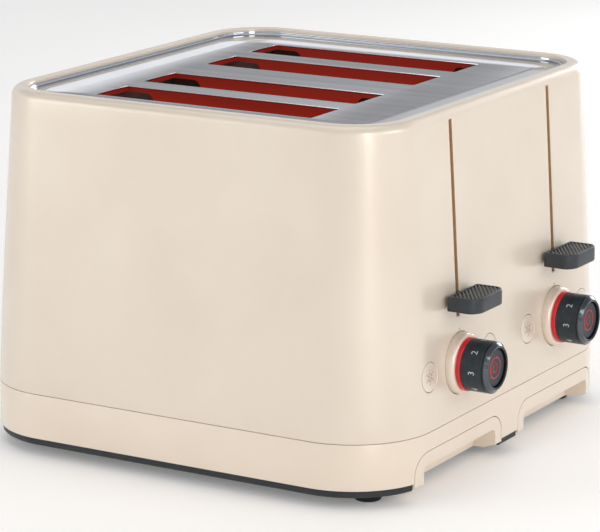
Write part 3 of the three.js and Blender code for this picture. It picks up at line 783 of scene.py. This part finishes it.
def dish_rings(lift):
    """From the flat middle out over the sloped border to the foot of the flange."""
    rings = []
    steps = 8
    outer_corner = section(PLATE_Z)[3] - DISH_EDGE - FLANGE_FOOT
    for step in range(steps + 1):
        u = step / steps
        inset = DISH_EDGE + SLOPE_WIDTH - (SLOPE_WIDTH - FLANGE_FOOT) * u
        corner = INNER_CORNER + (outer_corner - INNER_CORNER) * u
        rings.append(ring(PLATE_Z + lift + SLOPE_RISE * u ** SLOPE_POWER, inset, corner))
    return rings


def slot_outline(x, half, margin, corner):
    """Plan of a bread slot, widened by the margin."""
    across = half + margin
    along = SLOT_HALF_LENGTH + margin
    return rounded_rectangle(x - across, x + across, SLOT_Y - along, SLOT_Y + along, corner, steps=6)


def make_dish():
    rings = dish_rings(0)
    for sine, cosine in quarter(6)[1:]:
        inset = DISH_EDGE + PLATE + FLANGE_BEND * (1 - sine)
        rings.append(ring(PLATE_Z + 0.95 * mm + FLANGE_BEND * (1 - cosine), inset))
    half_plate = PLATE / 2
    for step in range(5):
        angle = step / 4 * math.pi
        z = dish_high.z - half_plate + half_plate * math.sin(angle)
        rings.append(ring(z, DISH_EDGE + half_plate + half_plate * math.cos(angle)))
    rings.append(ring(PLATE_Z + 0.6 * mm, DISH_EDGE))
    rings += reversed(dish_rings(-PLATE))
    plate = loft("steel_top", rings)
    tools = []
    edge = 0.15 * mm
    corner = 1.2 * mm
    levels = [(PLATE_Z - edge, 0), (PLATE_Z - 0.3 * edge, 0.3 * edge), (PLATE_Z + mm, mm + edge)]
    for _, sign in SIDES:
        for x, half in SLOTS:
            hole = slot_outline(sign * x, half, 0, corner)
            tools.append(upright_prism("slot", hole, 190 * mm, 210 * mm))
            flare = [[(px, py, z) for px, py in slot_outline(sign * x, half, grow, corner + grow)]
                     for z, grow in levels]
            tools.append(loft("flare", flare))
    carve(plate, tools)
    return dress(plate, STEEL, "body", ["top_plate"], sharp=24)


def make_lining(name, sign):
    """The sleeves of one pair of slots, with painted red light, cut away underneath near their ends."""
    low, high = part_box(f"slot_lining_{name}")
    thick = 0.8 * mm
    sleeves = [upright_prism("sleeve", slot_outline(sign * x, half, thick, mm), low.z, high.z)
               for x, half in SLOTS]
    xs = sorted(sign * x for x, _ in SLOTS)
    web = box_between("web", (xs[0], low.y + thick, high.z - thick), (xs[1], high.y - thick, high.z))
    whole = carve(sleeves[0], [sleeves[1], web], "UNION")
    below = 150 * mm
    cavities = [upright_prism("cavity", slot_outline(sign * x, half, 0, 0.6 * mm), below, 220 * mm)
                for x, half in SLOTS]
    for end in ENDS:
        y0, y1 = sorted(SLOT_Y + end * reach for reach in (SLOT_HALF_LENGTH + 3 * mm, NOTCH_START))
        outline = rectangle(y0, y1, below, high.z - NOTCH_DROP)
        inner = 2 if end < 0 else 3
        outline[inner] = (*outline[inner], NOTCH_FILLET)
        cavities.append(side_prism("notch", filleted(outline), low.x - mm, high.x + mm))
    carve(whole, cavities)
    whole.name = f"slot_sleeves_{name}"
    return dress(whole, LINING_PAINTED_GLOW, "body", [f"slot_lining_{name}"])


# ---------------- bread chamber


def tube(name, paths, radius, sides=10):
    """Round wires along polylines, as one mesh."""
    curve = bpy.data.curves.new(name, "CURVE")
    curve.dimensions = "3D"
    curve.bevel_depth = radius
    curve.bevel_resolution = max(sides // 4 - 1, 1)
    curve.use_fill_caps = True
    for path in paths:
        spline = curve.splines.new("POLY")
        spline.points.add(len(path) - 1)
        for point, place in zip(spline.points, path):
            point.co = (*place, 1)
    return placed(name, meshed(placed(name, curve)))


WIRE_RADIUS = 0.8 * mm
GUIDE_WIRES = 8
LINK_HEIGHT = 16 * mm  # the link bars hang this far under the grids


def make_guide(name, letter):
    """Two wire grids joined by links, which close on the bread together."""
    node = f"bread_guide_{name}_{letter}"
    low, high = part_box(node)
    low = low + Vector((WIRE_RADIUS,) * 3)
    high = high - Vector((WIRE_RADIUS,) * 3)
    bottom = low.z + LINK_HEIGHT
    pitch = (high.y - low.y) / (GUIDE_WIRES - 1)
    wire_ys = [low.y + i * pitch for i in range(GUIDE_WIRES)]
    paths = []
    for x in (low.x, high.x):
        paths += [[(x, low.y, z), (x, high.y, z)] for z in (bottom, high.z)]
        paths += [[(x, y, bottom), (x, y, high.z)] for y in wire_ys]
    inset = 0 if letter == "a" else pitch
    for y in (low.y + inset, high.y - inset):
        corner = 2 * mm
        paths.append([
            (low.x, y, bottom), (low.x, y, low.z + corner), (low.x + corner, y, low.z),
            (high.x - corner, y, low.z), (high.x, y, low.z + corner), (high.x, y, bottom),
        ])
    cage = tube(f"guide_wires_{name}_{letter}", paths, WIRE_RADIUS)
    return dress(cage, WIRE, f"guides_{name}_{letter}", [node])


RIBBON_PITCH = 7.5 * mm
RIBBON_HALF = 0.9 * mm  # half the ribbon's width, and half its rise across the board
RIBBON_THICK = 0.35 * mm
BOARD_HALF = 0.5 * mm
BOARD_NOTCH = 1.2 * mm


def board_notch(y, inward, z, turn):
    """Corners of a notch that holds a ribbon, from below, or from above where turn is -1."""
    return [(y, z - turn * 2 * mm), (y + inward, z - turn * 1.4 * mm),
            (y + inward, z + turn * 1.4 * mm), (y, z + turn * 2 * mm)]


def make_heater(name, place, faces):
    """A mica board wound with flat heating ribbon."""
    node = f"heater_{name}_{place}"
    low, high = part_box(node)
    board_x = {(-1,): high.x - BOARD_HALF, (1,): low.x + BOARD_HALF}.get(faces, (low.x + high.x) / 2)
    rows = int((high.z - low.z - 12 * mm) / RIBBON_PITCH)
    heights = [low.z + 7 * mm + row * RIBBON_PITCH for row in range(rows)]
    outline = [(low.y, low.z), (high.y, low.z)]
    for z in heights:
        outline += board_notch(high.y, -BOARD_NOTCH, z, 1)
    outline += [(high.y, high.z), (low.y, high.z)]
    for z in reversed(heights):
        outline += board_notch(low.y, BOARD_NOTCH, z, -1)
    board = side_prism(f"heater_board_{name}_{place}", outline, board_x - BOARD_HALF, board_x + BOARD_HALF)
    dress(board, MICA, "body", [node])
    strips = []
    for face in faces:
        near = board_x + face * BOARD_HALF
        far = near + face * RIBBON_THICK
        for z in heights:
            rise = face * RIBBON_HALF
            ends = ((low.y + BOARD_NOTCH, z - rise), (high.y - BOARD_NOTCH, z + rise))
            bands = [(y, rectangle(near, far, mid - RIBBON_HALF, mid + RIBBON_HALF)) for y, mid in ends]
            strips.append(loft("strip", [[(px, y, pz) for px, pz in band] for y, band in bands]))
    ribbon = merged(f"heater_ribbon_{name}_{place}", strips)
    dress(ribbon, RIBBON, "body")


def make_spring(name):
    """The return spring, which draws together as the lever rises."""
    node = f"return_spring_{name}"
    low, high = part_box(node)
    wire = 0.6 * mm
    middle = (low + high) / 2
    radius = (high.x - low.x) / 2 - wire
    turns = 12
    per_turn = 20
    path = []
    for step in range(turns * per_turn + 1):
        angle = 2 * math.pi * step / per_turn
        z = low.z + wire + (high.z - low.z - 2 * wire) * step / (turns * per_turn)
        path.append((middle.x + radius * math.cos(angle), middle.y + radius * math.sin(angle), z))
    coil = tube(f"lift_spring_{name}", [path], wire, sides=8)
    dress(coil, SPRING, "body", [node])
    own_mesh(coil)


# ---------------- levers


def quadratic(start, control, end, steps):
    points = []
    for step in range(steps + 1):
        t = step / steps
        points.append(tuple(
            a * (1 - t) ** 2 + 2 * b * t * (1 - t) + c * t ** 2 for a, b, c in zip(start, control, end)
        ))
    return points


# Points of the two curves round each front corner of the thumb piece, in mm from that corner.
LEVER_CORNER = ((0.3, 6.6), (0.2, 3.4), (-3, 1.5), (-5.2, 0), (-8, 0))


def lever_outline(x, half, back, front, inset=0.0):
    """Plan of the thumb piece: square at the back, with soft corners at the front."""
    half -= inset
    points = [(x + half + dx * mm, front + dy * mm) for dx, dy in LEVER_CORNER]
    right = quadratic(*points[:3], 6) + quadratic(*points[2:], 6)[1:]
    left = [(2 * x - px, py) for px, py in reversed(right)]
    outline = [(x + half, back), *right, *left, (x - half, back)]
    top = front + inset
    return [(px, min(max(py, top), back - inset)) for px, py in outline]


RIDGE_PITCH = 2.05 * mm
RIDGE_TURN = math.radians(33)
RIDGE_DEPTH = 0.8 * mm


def ridge_pad(outline, floor, top):
    """Diagonal ridges filling an outline."""
    xs = [p[0] for p in outline]
    ys = [p[1] for p in outline]
    centre = Vector(((min(xs) + max(xs)) / 2, (min(ys) + max(ys)) / 2, 0))
    reach = 26 * mm
    count = int(2 * reach / RIDGE_PITCH)
    bottom = floor - 0.2 * mm
    profile = [(-reach, bottom)]
    for i in range(count):
        start = -reach + i * RIDGE_PITCH
        profile += [(start, floor), (start + RIDGE_PITCH * 0.35, top), (start + RIDGE_PITCH * 0.6, top)]
    end = -reach + count * RIDGE_PITCH
    profile += [(end, floor), (end, bottom)]
    place = Matrix.Translation(centre) @ Matrix.Rotation(RIDGE_TURN, 4, "Z")
    rings = [[place @ Vector((along, across, z)) for across, z in profile] for along in (-reach, reach)]
    pad = loft("ridges", rings)
    return carve(pad, [upright_prism("trim", outline, floor - mm, top + mm)], "INTERSECT")


def make_lever(name):
    node = f"lever_handle_{name}"
    low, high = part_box(node)
    x = node_middle(node).x
    half = half_width(node) - 0.3 * mm
    grip = upright_prism("grip", lever_outline(x, half, high.y, low.y), low.z, high.z)
    softened(grip, 0.7 * mm, 3, 50)
    inner = lever_outline(x, half, high.y, low.y, 1.9 * mm)
    floor = high.z - RIDGE_DEPTH
    carve(grip, [upright_prism("pocket", inner, floor, high.z + mm)])
    pad = ridge_pad(lever_outline(x, half, high.y, low.y, 2.0 * mm), floor, high.z - 0.03 * mm)
    pocket_half = 1.6 * mm
    arm = box_between("arm", (x - pocket_half, low.y + 6.7 * mm, low.z + 0.6 * mm),
                      (x + pocket_half, high.y + 5 * mm, high.z - 0.6 * mm))
    carve(grip, [arm])
    thumb = merged(f"thumb_piece_{name}", [grip, pad])
    dress(thumb, SLATE, f"lever_{name}", [node], sharp=30)


# ---------------- knobs and buttons

KNOB_FACE = face_y(KNOB_Z)
BORE = 6.5 * mm
SHAFT_RADIUS = 3 * mm
COLLAR_SHOULDER = 1.2 * mm
COLLAR_CREST = 15.2 * mm  # where the collar's rounded shoulder meets its front


def out_from_face(node):
    """How far in front of the control face a node begins and ends."""
    low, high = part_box(node)
    return KNOB_FACE - high.y, KNOB_FACE - low.y


BARREL_RADIUS = half_width("knob_barrel_left")
RING_RADIUS = half_width("light_ring_left")
SHAFT_END, BARREL_TOP = out_from_face("knob_barrel_left")
RING_SPAN = out_from_face("light_ring_left")
COLLAR_SPAN = out_from_face("knob_collar_left")
KNOB_LENGTH = out_from_face("knob_bezel_left")[1]
RECESS_RADIUS = 10.9 * mm
RECESS_FLOOR = 15.6 * mm
BEZEL_RADIUS = 12.2 * mm  # where the bezel's chamfer meets its front
DIGITS = "123456"
DIGIT_SPACING = math.radians(46.5)
DIGIT_SIZE = 5.2 * mm
DIGIT_OUT = 14.3 * mm


def make_collar(name, place):
    low, top = COLLAR_SPAN
    profile = [(BORE, low), (COLLAR_RADIUS, low), (COLLAR_RADIUS, COLLAR_SHOULDER)]
    for sine, cosine in quarter(12)[1:]:
        radius = COLLAR_CREST + (COLLAR_RADIUS - COLLAR_CREST) * cosine
        profile.append((radius, COLLAR_SHOULDER + (top - COLLAR_SHOULDER) * sine))
    profile.append((BORE, top))
    collar = lathe(f"collar_{name}", profile, place)
    dress(collar, CREAM_GLOSS, "body", [f"knob_collar_{name}"], sharp=50)


def make_light_ring(name, place):
    low, high = RING_SPAN
    outline = [(BORE, low), (RING_RADIUS, low, 0.3 * mm), (RING_RADIUS, high, 0.6 * mm), (BORE, high)]
    glass = lathe(f"red_ring_{name}", filleted(outline), place)
    dress(glass, RED_LENS, "body", [f"light_ring_{name}"])


def make_barrel(name, place):
    bottom = RING_SPAN[1] + GAP
    outer = filleted([
        (SHAFT_RADIUS, bottom + mm), (SHAFT_RADIUS, bottom), (BARREL_RADIUS, bottom, 0.5 * mm),
        (BARREL_RADIUS, BARREL_TOP, 0.35 * mm), (RECESS_RADIUS, BARREL_TOP),
    ])
    profile = [(0, SHAFT_END), (SHAFT_RADIUS, SHAFT_END), (SHAFT_RADIUS, bottom), *outer[2:],
               (RECESS_RADIUS, RECESS_FLOOR), (0, RECESS_FLOOR)]
    barrel = lathe(f"barrel_{name}", profile, place)
    dress(barrel, KNOB, f"knob_{name}", [f"knob_barrel_{name}"])


def make_bezel(name, place):
    """A thin gloss band, a smoked chamfer with a narrow flat, and a gloss liner inside them."""
    low = BARREL_TOP + GAP
    shoulder = low + 0.6 * mm
    bore = RECESS_RADIUS + 0.3 * mm
    flat_inner = RECESS_RADIUS + 0.8 * mm
    inner = BARREL_RADIUS - 0.5 * mm
    band_outline = [
        (bore, low), (BARREL_RADIUS, low, 0.12 * mm), (BARREL_RADIUS, shoulder, 0.3 * mm),
        (inner, shoulder + 0.25 * mm), (bore, shoulder + 0.25 * mm),
    ]
    chamfer_outline = [
        (bore, shoulder), (inner, shoulder + 0.2 * mm),
        (BEZEL_RADIUS, KNOB_LENGTH, 0.3 * mm), (flat_inner, KNOB_LENGTH),
    ]
    liner_outline = [
        (RECESS_RADIUS, low), (bore, low), (flat_inner, KNOB_LENGTH - 0.05 * mm),
        (RECESS_RADIUS, KNOB_LENGTH - 0.3 * mm, 0.2 * mm),
    ]
    band, chamfer, liner = [
        lathe(f"{piece}_{name}", filleted(outline, steps=4), place)
        for piece, outline in (
            ("bezel_band", band_outline), ("bezel", chamfer_outline), ("bezel_liner", liner_outline),
        )
    ]
    dress(band, KNOB_GLOSS, f"knob_{name}")
    dress(chamfer, SMOKED, f"knob_{name}", [f"knob_bezel_{name}"])
    dress(liner, KNOB_GLOSS, f"knob_{name}")


def arc_band(centre_radius, width, start, end, steps=40):
    """Outline of a band along an arc; angles run from the top, counter-clockwise."""
    outline = []
    for radius, order in ((centre_radius + width / 2, 1), (centre_radius - width / 2, -1)):
        for step in list(range(steps + 1))[::order]:
            angle = start + (end - start) * step / steps
            outline.append((-radius * math.sin(angle), radius * math.cos(angle)))
    return outline


def decal(name, outlines, place, height):
    """Thin raised marks lying on local Z = 0."""
    parts = []
    for outline in outlines:
        rings = [[place @ Vector((x, y, z)) for x, y in outline] for z in (-height, height)]
        parts.append(loft("mark", rings))
    return merged(name, parts)


def rounded_edge(radius, top, edge):
    """Points of a small rounded edge, from the side up to the top."""
    return [(radius - edge * (1 - math.cos(angle)), top - edge + edge * math.sin(angle))
            for angle in (0, 0.5, 1.0, 1.57)]


STOP_DISH = 0.5 * mm  # how deep the stop button's face is dished
HALO_RADIUS = 5.8 * mm
POWER_RADIUS = 2.6 * mm


def make_stop_button(name, place):
    low, high = out_from_face(f"stop_button_{name}")
    radius = RECESS_RADIUS - 0.4 * mm
    rim = radius - 1.6 * mm
    profile = [(0, low), (radius, low), *rounded_edge(radius, high, 0.5 * mm)]
    profile += [(rim * t, high - STOP_DISH * (1 - t * t)) for t in (1, 0.85, 0.7, 0.5, 0.3, 0.15, 0)]
    cap = lathe(f"stop_cap_{name}", profile, place)
    dress(cap, KNOB, f"stop_{name}", [f"stop_button_{name}"])

    def on_face(distance, lift=0.0):
        """A place over the dished face, at the height it has this far from its middle."""
        height = high - STOP_DISH + STOP_DISH * (distance / rim) ** 2 + lift
        return place @ Matrix.Translation((0, 0, height))

    halo = arc_band(HALO_RADIUS, 0.85 * mm, 0, 2 * math.pi * 63 / 64, 63)
    power = arc_band(POWER_RADIUS, 0.5 * mm, math.radians(38), math.radians(322))
    bar = rectangle(-0.26 * mm, 0.26 * mm, 0.9 * mm, 3.4 * mm)
    parts = [
        decal("halo", [halo], on_face(HALO_RADIUS), 0.14 * mm),
        decal("sign", [power, bar], on_face(POWER_RADIUS, 0.02 * mm), 0.1 * mm),
    ]
    dress(merged(f"stop_mark_{name}", parts), RED_MARK, f"stop_{name}")


def digit_mesh(text):
    """The flat mesh of one character, centred on its own middle."""
    curve = bpy.data.curves.new("digit", "FONT")
    curve.body = text
    curve.size = DIGIT_SIZE
    curve.extrude = 0.06 * mm
    curve.align_x = "CENTER"
    curve.align_y = "CENTER"
    return meshed(placed("digit", curve))


def make_digits(name):
    """Numbers wrapped round the barrel, standing with their heads towards the casing."""
    centre = knob_at[name]
    meshes = []
    for place, text in enumerate(DIGITS):
        mesh = digit_mesh(text)
        for vertex in mesh.vertices:
            across, up, out = vertex.co
            angle = place * DIGIT_SPACING - across / BARREL_RADIUS
            radius = BARREL_RADIUS + out
            x = centre.x - radius * math.sin(angle)
            vertex.co = (x, KNOB_FACE - DIGIT_OUT + up, KNOB_Z + radius * math.cos(angle))
        meshes.append(mesh)
    dress(joined(f"dial_numbers_{name}", meshes), MARK_GREY, f"knob_{name}")


def dot_outline(x, y, radius, steps=16):
    angles = [2 * math.pi * i / steps for i in range(steps)]
    return [(x + radius * math.cos(angle), y + radius * math.sin(angle)) for angle in angles]


def thaw_icon():
    """A frost mark: six dots round a seventh, each with a smaller one farther out."""
    outlines = [dot_outline(0, 0, 0.55 * mm)]
    for arm in range(6):
        angle = arm * math.pi / 3 + math.pi / 6
        x, y = math.cos(angle), math.sin(angle)
        outlines.append(dot_outline(2.1 * mm * x, 2.1 * mm * y, 0.6 * mm))
        outlines.append(dot_outline(3.9 * mm * x, 3.9 * mm * y, 0.42 * mm))
    return outlines


def warm_icon():
    """A warming mark: three upright strokes over a line."""
    stroke = 0.28 * mm
    xs = [i * 1.6 * mm for i in (-1, 0, 1)]
    strokes = [rectangle(x - stroke, x + stroke, -0.9 * mm, 2.4 * mm) for x in xs]
    return [*strokes, rectangle(-2.6 * mm, 2.6 * mm, -2.5 * mm, -1.95 * mm)]


def make_function_button(name, letter):
    node = f"function_button_{name}_{letter}"
    place = face_place(node_middle(node).x, KNOB_Z)
    plunger = 2 * mm
    thick = 6 * mm
    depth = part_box(node)[1].y - face_y(KNOB_Z)
    profile = [(0, -depth), (plunger, -depth), (plunger, -thick), (BUTTON_RADIUS, -thick),
               *rounded_edge(BUTTON_RADIUS, 0, 0.3 * mm), (0, 0)]
    cap = lathe(f"function_cap_{name}_{letter}", profile, place)
    dress(cap, CREAM, f"button_{name}_{letter}", [node])
    icon = thaw_icon() if letter == "a" else warm_icon()
    mark = decal(f"function_mark_{name}_{letter}", icon, place, 0.06 * mm)
    dress(mark, MARK_BROWN, f"button_{name}_{letter}")


# ---------------- crumb trays


GAP_HALF = 41.5 * mm  # the finger gap under each pull
GAP_TOP = 18.4 * mm
GAP_WALL = 1.6 * mm
CHAMFER_RISE = 2.8 * mm  # how the pull's underside slopes up to its front
CHAMFER_RUN = 7.5 * mm


def make_tray(name):
    node = f"tray_handle_{name}"
    low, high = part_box(node)
    x = (low.x + high.x) / 2
    block = facing_prism(f"tray_pull_{name}", tray_outline(name, 0, low.z), low.y - PAST, high.y)
    casing = loft("casing", [ring(0), ring(SEAM_Z), ring(SEAM_Z + 10 * mm)])
    carve(block, [casing], "INTERSECT")
    opening = arch(x, GAP_HALF, -mm, GAP_TOP, 3.5 * mm)
    fingers = facing_prism("fingers", opening, low.y - PAST, high.y - GAP_WALL)
    slope_end = low.z + CHAMFER_RISE * (1 + PAST / CHAMFER_RUN)
    slope = [(low.y - PAST, 0), (low.y + CHAMFER_RUN, 0), (low.y + CHAMFER_RUN, low.z),
             (low.y, low.z + CHAMFER_RISE), (low.y - PAST, slope_end)]
    underside = side_prism("underside", slope, x - 80 * mm, x + 80 * mm)
    carve(block, [fingers, underside])
    softened(block, 0.4 * mm, 3, 40)
    dress(block, CREAM_GLOSS, f"tray_{name}", [node], sharp=30)


# ---------------- CAD parts that stay


def keep_cad():
    inside = {"chassis_front": CHASSIS, "chassis_rear": CHASSIS, "control_board": BOARD}
    for name, _ in SIDES:
        inside[f"heat_shield_{name}"] = REFLECTOR
        inside[f"bread_rack_{name}"] = WIRE
        inside[f"carriage_{name}"] = CHASSIS
        inside[f"guide_rod_{name}"] = CHROME
        inside[f"latch_magnet_{name}"] = COPPER
        inside[f"crumb_pan_{name}"] = PAN_STEEL
    for screw, _ in FOOT_SCREWS:
        inside[screw] = SCREW
    for node, finish in inside.items():
        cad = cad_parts[node]
        cad.data.materials.clear()
        cad.data.materials.append(finish.material)


# ---------------- build

make_casing()
make_slot_shades()
make_skirt()
make_base()
make_feet()
make_gland()
make_dish()
for side_name, side_sign in SIDES:
    straight = face_place(knob_at[side_name].x, KNOB_Z, upright=True)
    make_lining(side_name, side_sign)
    for guide in "ab":
        make_guide(side_name, guide)
    make_heater(side_name, "inner", (side_sign,))
    make_heater(side_name, "middle", (-1, 1))
    make_heater(side_name, "outer", (-side_sign,))
    make_spring(side_name)
    make_lever(side_name)
    for make in (make_collar, make_light_ring, make_barrel, make_bezel, make_stop_button):
        make(side_name, straight)
    make_digits(side_name)
    for button in "ab":
        make_function_button(side_name, button)
    make_tray(side_name)
keep_cad()

# ---------------- camera, floor and light


def aimed(thing, place, target):
    thing.location = place
    thing.rotation_euler = (Vector(target) - Vector(place)).to_track_quat("-Z", "Y").to_euler()


def add_camera():
    azimuth = math.radians(-59.64)
    elevation = math.radians(13.41)
    distance = 1.745
    target = Vector((5.96, -1.84, 101.66)) * mm
    level = math.cos(elevation)
    back = Vector((math.sin(azimuth) * level, -math.cos(azimuth) * level, math.sin(elevation)))
    lens = bpy.data.cameras.new("camera")
    lens.sensor_width = 36
    lens.lens = 180.05
    lens.shift_x = -0.0387
    lens.shift_y = -0.0278
    camera = placed("camera", lens)
    aimed(camera, target + back * distance, target)
    bpy.context.scene.camera = camera


def add_floor():
    half = 7
    corners = [(x, y, 0) for x, y in rectangle(-half, half, -half, half)]
    floor = object_from("floor", corners, [(0, 1, 2, 3)])
    finish = Finish("floor_white", "#f8f7f5", 0.7)
    finish.clouded(3, 2, "#f7f6f4", "#faf9f7")
    finish.set("Emission Color", (1, 1, 1, 1))
    finish.set("Emission Strength", 0.15)
    floor.data.materials.append(finish.material)


def add_area(name, place, target, size, power, colour="#ffffff"):
    light = bpy.data.lights.new(name, "AREA")
    light.shape = "RECTANGLE"
    light.size, light.size_y = size
    light.energy = power
    light.color = srgb(colour)[:3]
    aimed(placed(name, light), place, target)


# Brightness of the surroundings against the sine of the angle above the horizon.
SKY_LEVELS = ((0.0, 0.8), (0.1, 0.85), (0.135, 0.75), (0.16, 0.33), (0.182, 0.3), (0.2, 1.2), (0.27, 1.25),
              (0.34, 0.75), (0.42, 0.6), (0.52, 0.42), (1.0, 0.42))


def add_sky():
    """Studio surroundings: a darker belt above the horizon, brighter overhead, and a white backdrop."""
    world = bpy.data.worlds.new("studio")
    world.use_nodes = True
    nodes = world.node_tree.nodes
    links = world.node_tree.links
    background = nodes["Background"]
    place = nodes.new("ShaderNodeTexCoord")
    split = nodes.new("ShaderNodeSeparateXYZ")
    ramp = nodes.new("ShaderNodeValToRGB")
    fill_ramp(ramp, [(position, (level, level, level * 1.02, 1)) for position, level in SKY_LEVELS])
    backdrop = nodes.new("ShaderNodeMix")
    backdrop.data_type = "RGBA"
    backdrop.inputs["B"].default_value = (1, 1, 1, 1)
    seen = nodes.new("ShaderNodeLightPath").outputs["Is Camera Ray"]
    links.new(place.outputs["Generated"], split.inputs["Vector"])
    links.new(split.outputs["Z"], ramp.inputs["Fac"])
    links.new(seen, backdrop.inputs["Factor"])
    links.new(ramp.outputs["Color"], backdrop.inputs["A"])
    links.new(backdrop.outputs["Result"], background.inputs["Color"])
    background.inputs["Strength"].default_value = 1.0
    bpy.context.scene.world = world


add_camera()
add_floor()
add_sky()
add_area("key", (-1.25, -1.58, 0.7), (0, 0, 0.1), (0.5, 1.4), 10, "#fffaf5")
add_area("side", (-1.45, 1.5, 0.7), (0, 0.1, 0.1), (0.9, 1.3), 8)
add_area("right", (1.75, -0.15, 0.5), (0.1, 0, 0.1), (0.6, 0.9), 7)
add_area("brow", (0.1, -1.75, 0.85), (0, 0, 0.1), (1.0, 0.5), 5.5)
add_area("top", (0.1, 0.4, 2.6), (0, 0, 0.2), (2.2, 2.2), 13)
bpy.context.scene.view_settings.view_transform = "Standard"
